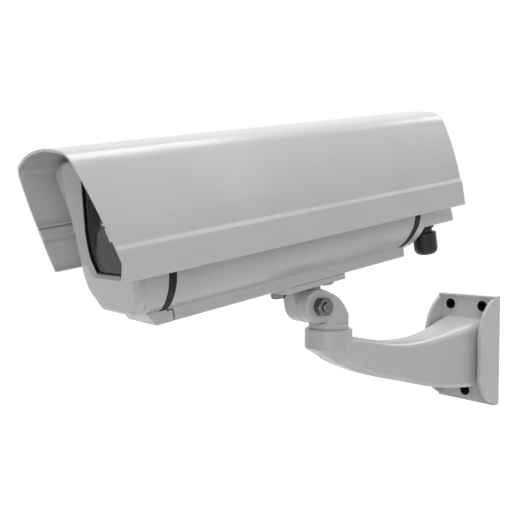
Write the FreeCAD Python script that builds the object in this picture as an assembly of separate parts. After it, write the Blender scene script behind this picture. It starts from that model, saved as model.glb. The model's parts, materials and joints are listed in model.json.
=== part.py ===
import FreeCAD, Part
import math
import os

# Wall mounted camera housing with a sunshield, on a cast arm with pan and tilt.
# Row frame: origin at the centre of the wall plate's back face, +Y into the wall, +Z up.
# The housing is drawn level in its own frame: x across, y to the rear, z up, with y = 0 at
# the sunshield's front edge and z = 0 at the crease in its side walls. One placement then
# tilts and pans it. The swivel head is drawn about the pan axis and only panned.

V = FreeCAD.Vector

# Pose and joint positions
pan_angle = -5.25
tilt_angle = 10.62
pan_reach = 261.2
tilt_offset = 25.5
tilt_axis_z = 69.4

# Bevel on the corners of bolt heads and nuts: its depth, and run per height
hex_bevel = 0.2
hex_bevel_slope = 1.7

# Half size of the blocks that cut everything on one side away
clear = 400.0

# Fits and clearances
face_gap = 0.3
shaft_gap = 0.08
screw_gap = 0.25
slide_gap = 0.3

# Wall plate
plate_width = 79.4
plate_height = 133.6
plate_thickness = 10.5
plate_side_wall = 4.0
plate_side_depth = 42.0
plate_hole_r = 6.0
plate_boss_r = 9.5
plate_boss_rise = 1.2
plate_hole_spacing = 45.0
plate_hole_z = 54.0
cheek_tip_depth = 6.5
cheek_foot_depth = 3.5
cheek_upper_z = 42.0
cheek_full_z = 6.0
cheek_lower_z = -34.0
cheek_foot_z = -52.0
cheek_foot_bend = 30.5
plate_lip_depth = 3.0
plate_lip_height = 2.2
pocket_depth = 62.0
pocket_wall = 9.0

# Arm, as stations from the socket to the wall plate. Each one gives its place as a share of
# the way from the wall to the pan axis, then top z, bottom z, half width, top corner radius,
# and the width and height of the slanted flank between side and underside
arm_stations = (
    (1.003, 36.0, 12.5, 23.2, 9.0, 14.2, 8.8),
    (0.91, 34.8, 0.8, 19.9, 8.0, 10.9, 7.6),
    (0.825, 30.8, -7.2, 17.3, 7.0, 8.3, 6.2),
    (0.61, 22.0, -21.5, 16.5, 8.0, 6.0, 5.0),
    (0.40, 23.0, -35.0, 18.4, 8.5, 5.0, 4.8),
    (0.21, 31.0, -42.0, 25.0, 9.0, 6.0, 5.5),
    (0.03, 38.5, -45.0, 34.5, 10.0, 9.0, 7.5),
)
socket_r = 24.35
socket_top_z = 45.0
socket_chamfer = 1.5
socket_skirt = 6.0

# Underside of the socket: the keel's middle line from its tip to the arm, as distance
# behind the pan axis and z, with a flat strip along it and a slanted flank on each side
keel_line = (
    (-27.0, 29.0),
    (-19.0, 22.4),
    (-9.0, 16.8),
    (1.0, 11.0),
    (11.5, 5.9),
    (22.0, 1.4),
    (33.0, -2.0),
    (44.0, -6.0),
)
keel_strip_half = 9.0
keel_flank_half = 24.35
keel_flank_rise = 9.8

# Swivel head and its bolt
head_base_r = 20.4
head_base_height = 5.4
ear_thickness = 17.0
ear_r = 17.0
ear_edge_r = 2.5
ear_back_lean = 14.0
ear_back_line = (
    (-10.4, 82.0),
    (-2.8, 78.4),
    (3.6, 73.6),
    (8.2, 68.2),
    (13.0, 60.5),
    (24.0, 42.0),
)
ear_foot_front = 16.0
head_boss_r = 9.0
head_boss_height = 10.0
swivel_bolt_r = 5.0
swivel_bolt_head_r = 8.0
swivel_bolt_head_height = 7.0
swivel_socket_flats = 8.0
swivel_socket_depth = 4.0
swivel_seat_z = 31.0
swivel_counterbore_r = 8.8
swivel_washer_r = 8.6
swivel_washer_thickness = 1.6

# Tilt bolt, nut and washers
tilt_bolt_r = 5.0
tilt_head_flats = 17.0
tilt_head_height = 6.5
tilt_nut_height = 8.0
tilt_bolt_end = 2.5
tilt_bolt_bevel = 0.8
tilt_washer_r = 10.0
tilt_washer_thickness = 1.6
tilt_lock_r = 8.4
tilt_lock_thickness = 1.6

# Adaptor under the housing
adaptor_axis_y = 223.0
adaptor_axis_z = -100.0
adaptor_plate_front_y = 177.0
adaptor_plate_length = 78.5
adaptor_plate_half_width = 27.0
adaptor_plate_thickness = 5.5
adaptor_corner_r = 8.0
knuckle_r = 17.6
knuckle_thickness = 18.0
knuckle_gap = 0.15
knuckle_web_front = 18.4
knuckle_web_rear = 17.8
adaptor_bolt_r = 4.0
adaptor_bolt_flats = 13.0
adaptor_bolt_head = 5.5
adaptor_bolt_inset = 10.5
adaptor_bolt_rear_inset = 6.6
adaptor_washer_r = 8.0
adaptor_washer_thickness = 1.2

# Body section, an oval with a squarer top
body_half_width = 57.8
body_top_z = 70.0
body_bottom_z = -68.0
body_side_z = -20.0
body_corner_r = 24.0
body_side_r = 38.0
body_wall = 2.6
body_front_y = 55.4
body_rear_y = 327.3
split_z = 13.0
seal_height = 2.5
seal_width = 2.0

# Bottom rail with its slot for the mounting nuts
rail_half_width = 28.0
rail_bottom_z = -72.3
rail_edge_r = 2.5
rail_lip = 3.6
rail_slot_half = 4.6
rail_cavity_half = 9.0
rail_cavity_height = 6.2
rail_nut_half = 8.0
rail_front_gap = 1.5
rail_nut_length = 20.0
floor_z = -59.6
rail_top_z = floor_z

# Screw ports and the screws of both end frames
port_x = 50.5
port_z = 6.0
port_r = 5.0
end_screw_r = 2.5
end_screw_head_r = 4.25
end_screw_head = 5.0
end_screw_reach = 22.0
counterbore_r = 5.5

# Inner guide ribs and the camera tray
tray_z = -40.0
tray_thickness = 2.0
tray_half_width = 45.8
tray_front_y = 92.0
tray_length = 190.0
tray_slot_half = 3.4
tray_slot_length = 120.0
tray_flange = 6.0
guide_rib = 1.6
guide_inner_x = 42.0
camera_screw_r = 3.175
camera_screw_head_r = 8.0
camera_screw_head = 6.0
camera_screw_height = 9.0
camera_neck_r = 2.3
camera_neck_rise = 0.3

# Side opening cover, its hinge and closing screws
flange_x = 62.0
flange_thickness = 2.5
flange_web = 3.0
hinge_x = -69.0
hinge_z = -16.0
hinge_knuckle_r = 4.5
hinge_pin_r = 2.0
hinge_places = (108.0, 275.0)
hinge_inner_length = 16.0
hinge_outer_length = 12.0
hinge_gap = 0.4
lug_outer_x = 73.0
lug_length = 26.0
lug_thickness = 6.4
foot_height = 9.0
closing_screw_x = 67.5
closing_screw_r = 2.5
closing_head_r = 4.25
closing_head = 4.6

# Front frame, window and what holds it
frame_face_y = 17.1
frame_face_slope = 0.103
frame_edge_r = 6.0
# Right half of the frame's outline from the bottom upwards: x, z and corner radius
frame_corners = (
    (31.0, -59.6, 9.0),
    (53.5, -44.0, 18.0),
    (56.4, -27.0, 40.0),
    (46.2, 23.0, 16.0),
    (56.0, 63.0, 9.0),
    (36.0, 69.3, 40.0),
)
frame_waist_depth = 9.0
screw_boss_r = 7.2
screw_boss_depth = 3.0
frame_wall = 3.2
front_gasket_thickness = 7.0
gasket_width = 5.5
# Right half of the window's outline from the bottom upwards: x, z and corner radius
window_corners = (
    (28.3, -27.4, 5.0),
    (38.8, -12.5, 22.0),
    (38.8, 8.0, 40.0),
    (25.0, 57.0, 9.0),
)
funnel_slope = 0.8
funnel_lead = 2.0
window_overlap = 4.0
collar_wall = 4.0
glass_front_y = 24.6
glass_thickness = 4.0
glass_seal = 1.2
clip_x = 19.0
retainer_thickness = 3.0
retainer_width = 6.5
collar_rear_y = 34.0
foot_front_y = 36.5
foot_toe_y = 44.6
foot_rear_y = 60.0
foot_edge_r = 2.0

# Rear cover and the cable glands below its overhang
rear_gasket_thickness = 8.0
rear_strip = 10.7
rear_end_y = 394.0
rear_end_slope = 0.1
rear_shelf_z = -43.0
rear_corner_r = 24.0
rear_wall = 3.0
rear_screw_seat_y = 352.0
gland_x = 26.0
gland_y = 372.0
gland_thread_r = 8.0
gland_flange_r = 10.75
gland_flange_height = 5.0
gland_neck_r = 8.5
gland_neck_height = 4.3
gland_cap_r = 12.35
gland_cap_height = 24.2
gland_cap_dome = 8.0
gland_bore_r = 5.5
gland_seal_bore_r = 3.0
gland_spigot = 9.0
gland_nut_height = 4.5
gland_nut_flats = 22.0

# Sunshield
shield_length = 371.0
shield_wall = 2.0
shield_crease_x = 81.5
shield_lower_x = 84.0
shield_lower_z = -24.25
shield_top_z = 78.1
shield_shoulder_x = 64.7
shield_shoulder_z = 68.8
shield_shoulder_r = 19.0
shield_side_bulge = 2.6
shield_front_slope = 0.233
shield_rail_z = 5.0
shield_rail_height = 10.0
shield_rail_depth = 3.0
shield_groove = 2.0
shield_hook = 1.6
shield_hem = 4.0
shield_pad_x = 30.0
shield_pad_half = 7.0
shield_pad_z = 71.6
shield_pad_rise = 4.0
shield_pad_front_y = 75.0
shield_screw_r = 2.5
shield_screw_head_r = 4.25
shield_screw_head = 3.5
shield_screw_reach = 3.2
spacer_r = 6.5
spacer_seat_z = 69.85

# Heater, circuit board and terminal block
heater_front_y = 62.0
heater_length = 24.0
heater_half_width = 22.0
heater_base = 4.0
heater_fin = 1.6
heater_fin_height = 9.0
heater_fins = 7
board_front_y = 215.0
board_length = 78.0
board_half_width = 28.0
board_thickness = 1.6
standoff_r = 2.6
standoff_height = 5.5
standoff_inset = 6.0
terminal_length = 12.0
terminal_half_width = 22.0
terminal_height = 9.0
terminal_ways = 6

# Values worked out from the ones above
socket_center = V(0, -pan_reach, 0)
gasket_front_y = body_front_y - front_gasket_thickness
rear_gasket_y = body_rear_y
rear_cover_y = body_rear_y + rear_gasket_thickness
rear_strip_y = rear_cover_y + rear_strip
adaptor_top_z = rail_bottom_z
adaptor_under_z = rail_bottom_z - adaptor_plate_thickness
adaptor_plate_rear_y = adaptor_plate_front_y + adaptor_plate_length
adaptor_bolt_ys = (
    adaptor_plate_front_y + adaptor_bolt_inset,
    adaptor_plate_rear_y - adaptor_bolt_rear_inset,
)
cover_edge_z = split_z + seal_height
glass_rear_y = glass_front_y + glass_thickness
tray_under_z = tray_z - tray_thickness / 2
tray_top_z = tray_z + tray_thickness / 2
head_bottom_z = socket_top_z + face_gap
head_base_top_z = head_bottom_z + head_base_height


def swivel_placement():
    return FreeCAD.Placement(socket_center, FreeCAD.Rotation(V(0, 0, 1), pan_angle))


def housing_placement():
    turn = FreeCAD.Rotation(V(0, 0, 1), pan_angle)
    tip = FreeCAD.Rotation(V(1, 0, 0), tilt_angle)
    joint = socket_center + turn.multVec(V(0, -tilt_offset, tilt_axis_z))
    to_axis = FreeCAD.Placement(V(0, -adaptor_axis_y, -adaptor_axis_z), FreeCAD.Rotation())
    return FreeCAD.Placement(joint, turn * tip).multiply(to_axis)


def save(name, shape, placement=None):
    """Write one piece, moved into the row frame, as its own file."""
    piece = shape.copy()
    if placement is not None:
        piece.Placement = placement
    piece.exportStep("parts/" + name + ".step")


def box(x0, x1, y0, y1, z0, z1):
    return Part.makeBox(x1 - x0, y1 - y0, z1 - z0, V(x0, y0, z0))


def rod_x(y, z, r, x0, x1):
    return Part.makeCylinder(r, x1 - x0, V(x0, y, z), V(1, 0, 0))


def rod_y(x, z, r, y0, y1):
    return Part.makeCylinder(r, y1 - y0, V(x, y0, z), V(0, 1, 0))


def rod_z(x, y, r, z0, z1):
    return Part.makeCylinder(r, z1 - z0, V(x, y, z0), V(0, 0, 1))


def ring_x(y, z, r, bore, x0, x1):
    return rod_x(y, z, r, x0, x1).cut(rod_x(y, z, bore, x0, x1))


def ring_y(x, z, r, bore, y0, y1):
    return rod_y(x, z, r, y0, y1).cut(rod_y(x, z, bore, y0, y1))


def ring_z(x, y, r, bore, z0, z1):
    return rod_z(x, y, r, z0, z1).cut(rod_z(x, y, bore, z0, z1))


def closed(points):
    return Part.makePolygon(points + [points[0]])


def slab_x(points, x0, x1):
    """Extrude a (y, z) outline along x."""
    wire = closed([V(x0, y, z) for y, z in points])
    return Part.Face(wire).extrude(V(x1 - x0, 0, 0))


def slab_y(points, y0, y1):
    """Extrude an (x, z) outline along y."""
    wire = closed([V(x, y0, z) for x, z in points])
    return Part.Face(wire).extrude(V(0, y1 - y0, 0))


def slab_z(points, z0, z1):
    """Extrude an (x, y) outline along z."""
    wire = closed([V(x, y, z0) for x, y in points])
    return Part.Face(wire).extrude(V(0, 0, z1 - z0))


def hexagon(flats, height, base, axis, turn=0):
    """Hexagonal prism from the centre of its base along an axis, its far end bevelled."""
    r = flats / math.sqrt(3)
    points = []
    for i in range(6):
        a = math.radians(60 * i + turn)
        points.append(V(r * math.cos(a), r * math.sin(a), 0))
    prism = Part.Face(closed(points)).extrude(V(0, 0, height))
    tall = height * hex_bevel_slope
    cone = Part.makeCone(flats / 2 + tall, flats / 2 - hex_bevel, tall + hex_bevel)
    prism = prism.common(cone.translated(V(0, 0, height - tall - hex_bevel)))
    prism.Placement = FreeCAD.Placement(base, FreeCAD.Rotation(V(0, 0, 1), axis))
    return prism


def edges_along(shape, direction, test):
    """Straight edges parallel to a direction whose middle passes a test."""
    found = []
    for edge in shape.Edges:
        if edge.Curve.TypeId != "Part::GeomLine":
            continue
        if abs(abs(edge.Curve.Direction.dot(direction)) - 1) > 1e-6:
            continue
        if test(edge.CenterOfMass):
            found.append(edge)
    return found


def mirrored(shape):
    return shape.mirror(V(0, 0, 0), V(1, 0, 0))


def outline_points(corners, grow):
    """Corner points of a mirrored outline moved outwards, with each corner's radius."""
    right = [(x, z) for x, z, r in corners]
    ring = right + [(-x, z) for x, z in reversed(right)]
    radii = [r for x, z, r in corners]
    radii = radii + radii[::-1]
    n = len(ring)
    normals = []
    for i in range(n):
        dx = ring[(i + 1) % n][0] - ring[i][0]
        dz = ring[(i + 1) % n][1] - ring[i][1]
        length = math.hypot(dx, dz)
        normals.append((dz / length, -dx / length))
    moved = []
    for i in range(n):
        (ax, az), (bx, bz) = normals[i - 1], normals[i]
        turn = ax * bz - az * bx
        share = grow / (1 + ax * bx + az * bz)
        point = (ring[i][0] + share * (ax + bx), ring[i][1] + share * (az + bz))
        half = math.acos(max(-1.0, min(1.0, ax * bx + az * bz))) / 2
        r = radii[i] + math.copysign(grow, turn)
        moved.append((point, max(r, 0.5), half))
    return moved


def rounded_outline(corners, y, grow=0.0):
    """Closed wire across y through a mirrored outline, its corners rounded."""
    moved = outline_points(corners, grow)
    n = len(moved)
    arcs = []
    for i in range(n):
        (px, pz), r, half = moved[i]
        ends = []
        for j in (i - 1, (i + 1) % n):
            qx, qz = moved[j][0]
            length = math.hypot(qx - px, qz - pz)
            cut = r * math.tan(half) / length
            ends.append((px + (qx - px) * cut, pz + (qz - pz) * cut))
        mx = (ends[0][0] + ends[1][0]) / 2 - px
        mz = (ends[0][1] + ends[1][1]) / 2 - pz
        length = math.hypot(mx, mz)
        rise = r * (1 / math.cos(half) - 1) / length
        middle = (px + mx * rise, pz + mz * rise)
        arcs.append([V(ax, y, az) for ax, az in (ends[0], middle, ends[1])])
    edges = []
    for i in range(n):
        edges.append(Part.Arc(*arcs[i]).toShape())
        edges.append(Part.makeLine(arcs[i][2], arcs[(i + 1) % n][0]))
    return Part.Wire(edges)


def tangent_web(c1, r1, c2, r2, x0, x1):
    """Two discs in the y, z plane and the web between their outer tangents."""
    dy = c2[0] - c1[0]
    dz = c2[1] - c1[1]
    span = math.hypot(dy, dz)
    heading = math.atan2(dz, dy)
    lean = math.acos((r1 - r2) / span)
    points = []
    for centre, r, side in ((c1, r1, 1), (c2, r2, 1), (c2, r2, -1), (c1, r1, -1)):
        a = heading + side * lean
        points.append((centre[0] + r * math.cos(a), centre[1] + r * math.sin(a)))
    web = slab_x(points, x0, x1)
    return web.fuse([rod_x(c1[0], c1[1], r1, x0, x1), rod_x(c2[0], c2[1], r2, x0, x1)])


def single(shape):
    """The shape without seams between faces that share one surface."""
    merged = shape.removeSplitter()
    if len(merged.Solids) == 1:
        return merged.Solids[0]
    return merged


# Wall bracket


def arm_section(share, top, bottom, half, corner, flank, rise):
    """Closed section across the arm: flat top, round shoulders, slanted lower flanks."""
    y = -share * pan_reach
    s = math.sqrt(0.5)
    a = V(-half + flank, y, bottom)
    b = V(half - flank, y, bottom)
    c = V(half, y, bottom + rise)
    d = V(half, y, top - corner)
    e = V(half - corner, y, top)
    f = V(-half + corner, y, top)
    g = V(-half, y, top - corner)
    h = V(-half, y, bottom + rise)
    right = V(half - corner + corner * s, y, top - corner + corner * s)
    left = V(-half + corner - corner * s, y, top - corner + corner * s)
    edges = [
        Part.makeLine(a, b),
        Part.makeLine(b, c),
        Part.makeLine(c, d),
        Part.Arc(d, right, e).toShape(),
        Part.makeLine(e, f),
        Part.Arc(f, left, g).toShape(),
        Part.makeLine(g, h),
        Part.makeLine(h, a),
    ]
    return Part.Wire(edges)


def below_keel():
    """Everything under the keel line, with its flat strip and the flanks beside it."""
    reach = socket_r + 4
    slope = keel_flank_rise / (keel_flank_half - keel_strip_half)
    side = (reach - keel_strip_half) * slope
    deep = -60
    sections = []
    for behind, z in keel_line:
        y = behind - pan_reach
        points = (
            (-reach, deep),
            (reach, deep),
            (reach, z + side),
            (keel_strip_half, z),
            (-keel_strip_half, z),
            (-reach, z + side),
        )
        sections.append(closed([V(px, y, pz) for px, pz in points]))
    return Part.makeLoft(sections, True, False)


def socket_body():
    """Upright socket whose underside is the keel that runs on into the arm."""
    body = rod_z(0, -pan_reach, socket_r, keel_line[-1][1] - socket_skirt, socket_top_z)
    rim = [e for e in body.Edges if abs(e.CenterOfMass.z - socket_top_z) < 0.01]
    body = body.makeChamfer(socket_chamfer, rim)
    return body.cut(below_keel())


def side_wall():
    """One cheek of the wall plate, its front edge an arc between the two ends."""
    half = plate_height / 2
    depth = plate_side_depth
    upper = V(0, -cheek_tip_depth, half)
    upper_bend = V(0, cheek_tip_depth - depth, cheek_upper_z)
    full_top = V(0, -depth, cheek_full_z)
    full_low = V(0, -depth, cheek_lower_z)
    lower_bend = V(0, -cheek_foot_bend, cheek_foot_z)
    lower = V(0, -cheek_foot_depth, -half)
    edges = [
        Part.makeLine(V(0, 0, -half), V(0, 0, half)),
        Part.makeLine(V(0, 0, half), upper),
        Part.Arc(upper, upper_bend, full_top).toShape(),
        Part.makeLine(full_top, full_low),
        Part.Arc(full_low, lower_bend, lower).toShape(),
        Part.makeLine(lower, V(0, 0, -half)),
    ]
    wall = Part.Face(Part.Wire(edges)).extrude(V(plate_side_wall, 0, 0))
    return wall.translated(V(plate_width / 2 - plate_side_wall, 0, 0))


def plate_hole_places():
    half = plate_hole_spacing / 2
    return ((-half, plate_hole_z), (half, plate_hole_z), (0, -plate_hole_z))


def wall_bracket():
    half_w = plate_width / 2
    half_h = plate_height / 2
    plate = box(-half_w, half_w, -plate_thickness, 0, -half_h, half_h)
    lip_y = -plate_thickness - plate_lip_depth
    lip = box(-half_w, half_w, lip_y, 0, half_h - plate_lip_height, half_h)
    arm = Part.makeLoft([arm_section(*s) for s in arm_stations], True, False)
    near = side_wall()
    pieces = [lip, arm, near, mirrored(near), socket_body()]
    for x, z in plate_hole_places():
        pieces.append(rod_y(x, z, plate_boss_r, -plate_thickness - plate_boss_rise, 0))
    body = plate.fuse(pieces)
    for x, z in plate_hole_places():
        body = body.cut(rod_y(x, z, plate_hole_r, -plate_side_depth, 1))
    body = body.cut(rod_z(0, -pan_reach, swivel_bolt_r + shaft_gap, -40, socket_top_z + 1))
    seat = swivel_seat_z
    body = body.cut(rod_z(0, -pan_reach, swivel_counterbore_r, -40, seat))
    return single(body.cut(cable_pocket()))


def cable_pocket():
    """Hollow behind the arm's root, open to the wall and tapering into the arm."""
    deep = -pocket_depth
    mouth = closed([V(x, 0.5, z) for x, z in pocket_corners(0)])
    end = closed([V(x, deep, z) for x, z in pocket_corners(deep)])
    return Part.makeLoft([mouth, end], True, True)


def pocket_corners(y):
    """Corners of the pocket at a depth, inset from the arm's section there."""
    share = -y / pan_reach
    outer, inner = arm_stations[-2:]
    for first, second in zip(arm_stations, arm_stations[1:]):
        if second[0] <= share <= first[0]:
            outer, inner = first, second
    part = max((share - inner[0]) / (outer[0] - inner[0]), 0.0)
    top = inner[1] + part * (outer[1] - inner[1]) - pocket_wall
    bottom = inner[2] + part * (outer[2] - inner[2]) + pocket_wall
    half = inner[3] + part * (outer[3] - inner[3]) - pocket_wall
    return ((-half, bottom), (half, bottom), (half, top), (-half, top))


# Swivel head and joint bolts, drawn about the pan axis


def ear_back():
    """Web behind the tilt axis whose back falls in one curve to the base."""
    lean = math.radians(ear_back_lean)
    start = V(0, ear_r * math.sin(lean) - tilt_offset, ear_r * math.cos(lean) + tilt_axis_z)
    path = [start] + [V(0, y, z) for y, z in ear_back_line]
    end = (path[-1] - path[-2]).normalize()
    back = Part.BSplineCurve()
    back.interpolate(
        Points=path,
        InitialTangent=V(0, math.cos(lean), -math.sin(lean)) * ear_r,
        FinalTangent=end * ear_r,
    )
    front = V(0, -ear_foot_front, path[-1].z)
    centre = V(0, -tilt_offset, tilt_axis_z)
    knee = V(0, -ear_foot_front, tilt_axis_z - ear_r / 2)
    face = Part.Face(Part.Wire([
        back.toShape(),
        Part.makeLine(path[-1], front),
        Part.makeLine(front, knee),
        Part.makeLine(knee, centre),
        Part.makeLine(centre, start),
    ]))
    return face.extrude(V(ear_thickness, 0, 0))


def swivel_head():
    base = rod_z(0, 0, head_base_r, head_bottom_z, head_base_top_z)
    disc = rod_x(-tilt_offset, tilt_axis_z, ear_r, 0, ear_thickness)
    low = box(-1, ear_thickness + 1, -clear, clear, -clear, head_base_top_z - 1)
    ear = single(disc.fuse(ear_back()).cut(low))
    rim = []
    for edge in ear.Edges:
        if abs(edge.CenterOfMass.x - ear_thickness) < 0.01 and edge.Curve.TypeId == "Part::GeomCircle":
            rim.append(edge)
    ear = ear.makeFillet(ear_edge_r, rim)
    top = tilt_axis_z + ear_r + 1
    barrel = rod_z(0, 0, head_base_r, head_bottom_z, top)
    ahead = box(-1, ear_thickness + 1, -tilt_offset - ear_r - 1, 0, head_bottom_z, top)
    ear = ear.common(barrel.fuse(ahead))
    boss = rod_z(0, 0, head_boss_r, head_base_top_z - 1, head_base_top_z + head_boss_height)
    body = base.fuse([ear, boss])
    body = body.cut(rod_z(0, 0, swivel_bolt_r, 0, head_base_top_z + head_boss_height - 2))
    body = body.cut(rod_x(-tilt_offset, tilt_axis_z, tilt_bolt_r + shaft_gap, -1, ear_thickness + 1))
    return single(body)


def swivel_bolt():
    head_top = swivel_seat_z - swivel_washer_thickness
    top = head_base_top_z + head_boss_height - 3
    shank = rod_z(0, 0, swivel_bolt_r, head_top - 1, top)
    head = rod_z(0, 0, swivel_bolt_head_r, head_top - swivel_bolt_head_height, head_top)
    floor = head_top - swivel_bolt_head_height + swivel_socket_depth
    socket = hexagon(swivel_socket_flats, swivel_socket_depth, V(0, 0, floor), V(0, 0, -1))
    return shank.fuse(head).cut(socket)


def swivel_washer():
    top = swivel_seat_z
    return ring_z(0, 0, swivel_washer_r, swivel_bolt_r + shaft_gap, top - swivel_washer_thickness, top)


def far_seat():
    return -knuckle_gap - knuckle_thickness - tilt_washer_thickness


def tilt_bolt():
    """Bolt across the joint, its head on the knuckle's side."""
    tip = ear_thickness + tilt_lock_thickness + tilt_nut_height + tilt_bolt_end
    seat = far_seat()
    shank = rod_x(-tilt_offset, tilt_axis_z, tilt_bolt_r, seat - 1, tip)
    end = [e for e in shank.Edges if abs(e.CenterOfMass.x - tip) < 0.01]
    shank = shank.makeChamfer(tilt_bolt_bevel, end)
    centre = V(seat, -tilt_offset, tilt_axis_z)
    return shank.fuse(hexagon(tilt_head_flats, tilt_head_height, centre, V(-1, 0, 0), 30))


def tilt_washers():
    """Flat washer under the head and a narrow lock washer under the nut."""
    bore = tilt_bolt_r + shaft_gap
    near = ring_x(-tilt_offset, tilt_axis_z, tilt_lock_r, bore, ear_thickness,
                  ear_thickness + tilt_lock_thickness)
    far = ring_x(-tilt_offset, tilt_axis_z, tilt_washer_r, bore, far_seat(),
                 far_seat() + tilt_washer_thickness)
    return Part.makeCompound([near, far])


def tilt_nut():
    seat = ear_thickness + tilt_lock_thickness
    centre = V(seat, -tilt_offset, tilt_axis_z)
    nut = hexagon(tilt_head_flats, tilt_nut_height, centre, V(1, 0, 0), 30)
    return nut.cut(rod_x(-tilt_offset, tilt_axis_z, tilt_bolt_r + 0.02, seat - 1, seat + 20))


# Adaptor plate with its knuckle, and its fasteners


def adaptor_knuckle():
    y0 = adaptor_plate_front_y
    y1 = adaptor_plate_rear_y
    w = adaptor_plate_half_width
    plate = box(-w, w, y0, y1, adaptor_under_z, adaptor_top_z)
    corners = edges_along(plate, V(0, 0, 1), lambda c: True)
    plate = plate.makeFillet(adaptor_corner_r, corners)
    x0 = -knuckle_gap - knuckle_thickness
    x1 = -knuckle_gap
    disc = rod_x(adaptor_axis_y, adaptor_axis_z, knuckle_r, x0, x1)
    web = slab_x(
        (
            (adaptor_axis_y - knuckle_r, adaptor_axis_z),
            (adaptor_axis_y + knuckle_r, adaptor_axis_z),
            (adaptor_axis_y + knuckle_web_rear, adaptor_under_z + 1),
            (adaptor_axis_y - knuckle_web_front, adaptor_under_z + 1),
        ),
        x0,
        x1,
    )
    body = plate.fuse([disc, web])
    body = body.cut(rod_x(adaptor_axis_y, adaptor_axis_z, tilt_bolt_r + shaft_gap, x0 - 1, x1 + 1))
    for y in adaptor_bolt_ys:
        body = body.cut(rod_z(0, y, adaptor_bolt_r + screw_gap, adaptor_under_z - 1, adaptor_top_z + 1))
    return single(body)


def adaptor_bolts():
    seat = adaptor_under_z - adaptor_washer_thickness
    top = rail_bottom_z + rail_lip + rail_cavity_height - 0.4
    bolts = []
    for y in adaptor_bolt_ys:
        shank = rod_z(0, y, adaptor_bolt_r, seat - 1, top)
        head = hexagon(adaptor_bolt_flats, adaptor_bolt_head, V(0, y, seat), V(0, 0, -1))
        bolts.append(shank.fuse(head))
    return Part.makeCompound(bolts)


def adaptor_washers():
    low = adaptor_under_z - adaptor_washer_thickness
    bore = adaptor_bolt_r + screw_gap
    return Part.makeCompound([
        ring_z(0, y, adaptor_washer_r, bore, low, adaptor_under_z) for y in adaptor_bolt_ys
    ])


def rail_nuts():
    low = rail_bottom_z + rail_lip
    high = low + rail_cavity_height - 2 * slide_gap
    half = rail_nut_length / 2
    nuts = []
    for y in adaptor_bolt_ys:
        block = box(-rail_nut_half, rail_nut_half, y - half, y + half, low, high)
        nuts.append(block.cut(rod_z(0, y, adaptor_bolt_r + 0.02, low - 1, high + 1)))
    return Part.makeCompound(nuts)


# Housing body


def body_section(y, inset):
    """Wire of the oval across the housing, moved inwards by an inset."""
    a = body_half_width - inset
    top = body_top_z - inset
    low = body_bottom_z + inset
    r = body_corner_r - inset
    side_r = body_side_r - inset
    bottom_r = bottom_arc_radius() - inset
    s = math.sqrt(0.5)
    center_z = low + bottom_r
    meet = V(a - side_r, y, body_side_z) - V(0, y, center_z)
    meet = V(0, y, center_z) + meet * (bottom_r / meet.Length)
    lean = (math.atan2(meet.z - body_side_z, meet.x - a + side_r)) / 2
    bend = V(a - side_r + side_r * math.cos(lean), y, body_side_z + side_r * math.sin(lean))
    right = [
        Part.Arc(V(0, y, low), arc_middle(meet, center_z, bottom_r, y), meet).toShape(),
        Part.Arc(meet, bend, V(a, y, body_side_z)).toShape(),
        Part.makeLine(V(a, y, body_side_z), V(a, y, top - r)),
        Part.Arc(V(a, y, top - r), V(a - r + r * s, y, top - r + r * s), V(a - r, y, top)).toShape(),
        Part.makeLine(V(a - r, y, top), V(0, y, top)),
    ]
    left = [mirrored(edge) for edge in right]
    return Part.Wire(Part.__sortEdges__(right + left))


def bottom_arc_radius():
    """Radius of the bottom arc that meets the side arcs smoothly."""
    a = body_half_width
    h = body_side_z - body_bottom_z
    r = body_side_r
    return (a * a + h * h - 2 * a * r) / (2 * (h - r))


def arc_middle(meet, center_z, r, y):
    half = math.atan2(meet.x, center_z - meet.z) / 2
    return V(r * math.sin(half), y, center_z - r * math.cos(half))


def body_prism(inset, y0, y1):
    return Part.Face(body_section(y0, inset)).extrude(V(0, y1 - y0, 0))


def rail_prism(y0, y1):
    rail = box(-rail_half_width, rail_half_width, y0, y1, rail_bottom_z, rail_top_z)
    low = edges_along(rail, V(0, 1, 0), lambda c: c.z < rail_bottom_z + 0.1)
    return rail.makeFillet(rail_edge_r, low)


def port_rods(r, y0, y1):
    return [rod_y(-port_x, port_z, r, y0, y1), rod_y(port_x, port_z, r, y0, y1)]


def guide_ribs():
    """Two grooves along the trough that hold the edges of the camera tray."""
    half_slot = tray_thickness / 2 + slide_gap
    ribs = []
    for z in (tray_z - half_slot - guide_rib, tray_z + half_slot):
        rib = box(guide_inner_x, body_half_width, body_front_y, body_rear_y, z, z + guide_rib)
        ribs.append(rib)
        ribs.append(mirrored(rib))
    return ribs


def hinge_lower_knuckles():
    half = hinge_inner_length / 2
    pieces = []
    for y in hinge_places:
        pieces.append(rod_y(hinge_x, hinge_z, hinge_knuckle_r, y - half, y + half))
        pieces.append(slab_y(
            (
                (hinge_x, hinge_z - hinge_knuckle_r),
                (-body_half_width + 4, hinge_z - hinge_knuckle_r - 3),
                (-body_half_width + 4, hinge_z),
                (hinge_x + hinge_knuckle_r * 0.8, hinge_z),
            ),
            y - half,
            y + half,
        ))
    return pieces


def closing_lugs():
    half = lug_length / 2
    top = hinge_z
    return [
        box(body_half_width - 4, lug_outer_x, y - half, y + half, top - lug_thickness, top)
        for y in hinge_places
    ]


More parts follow.
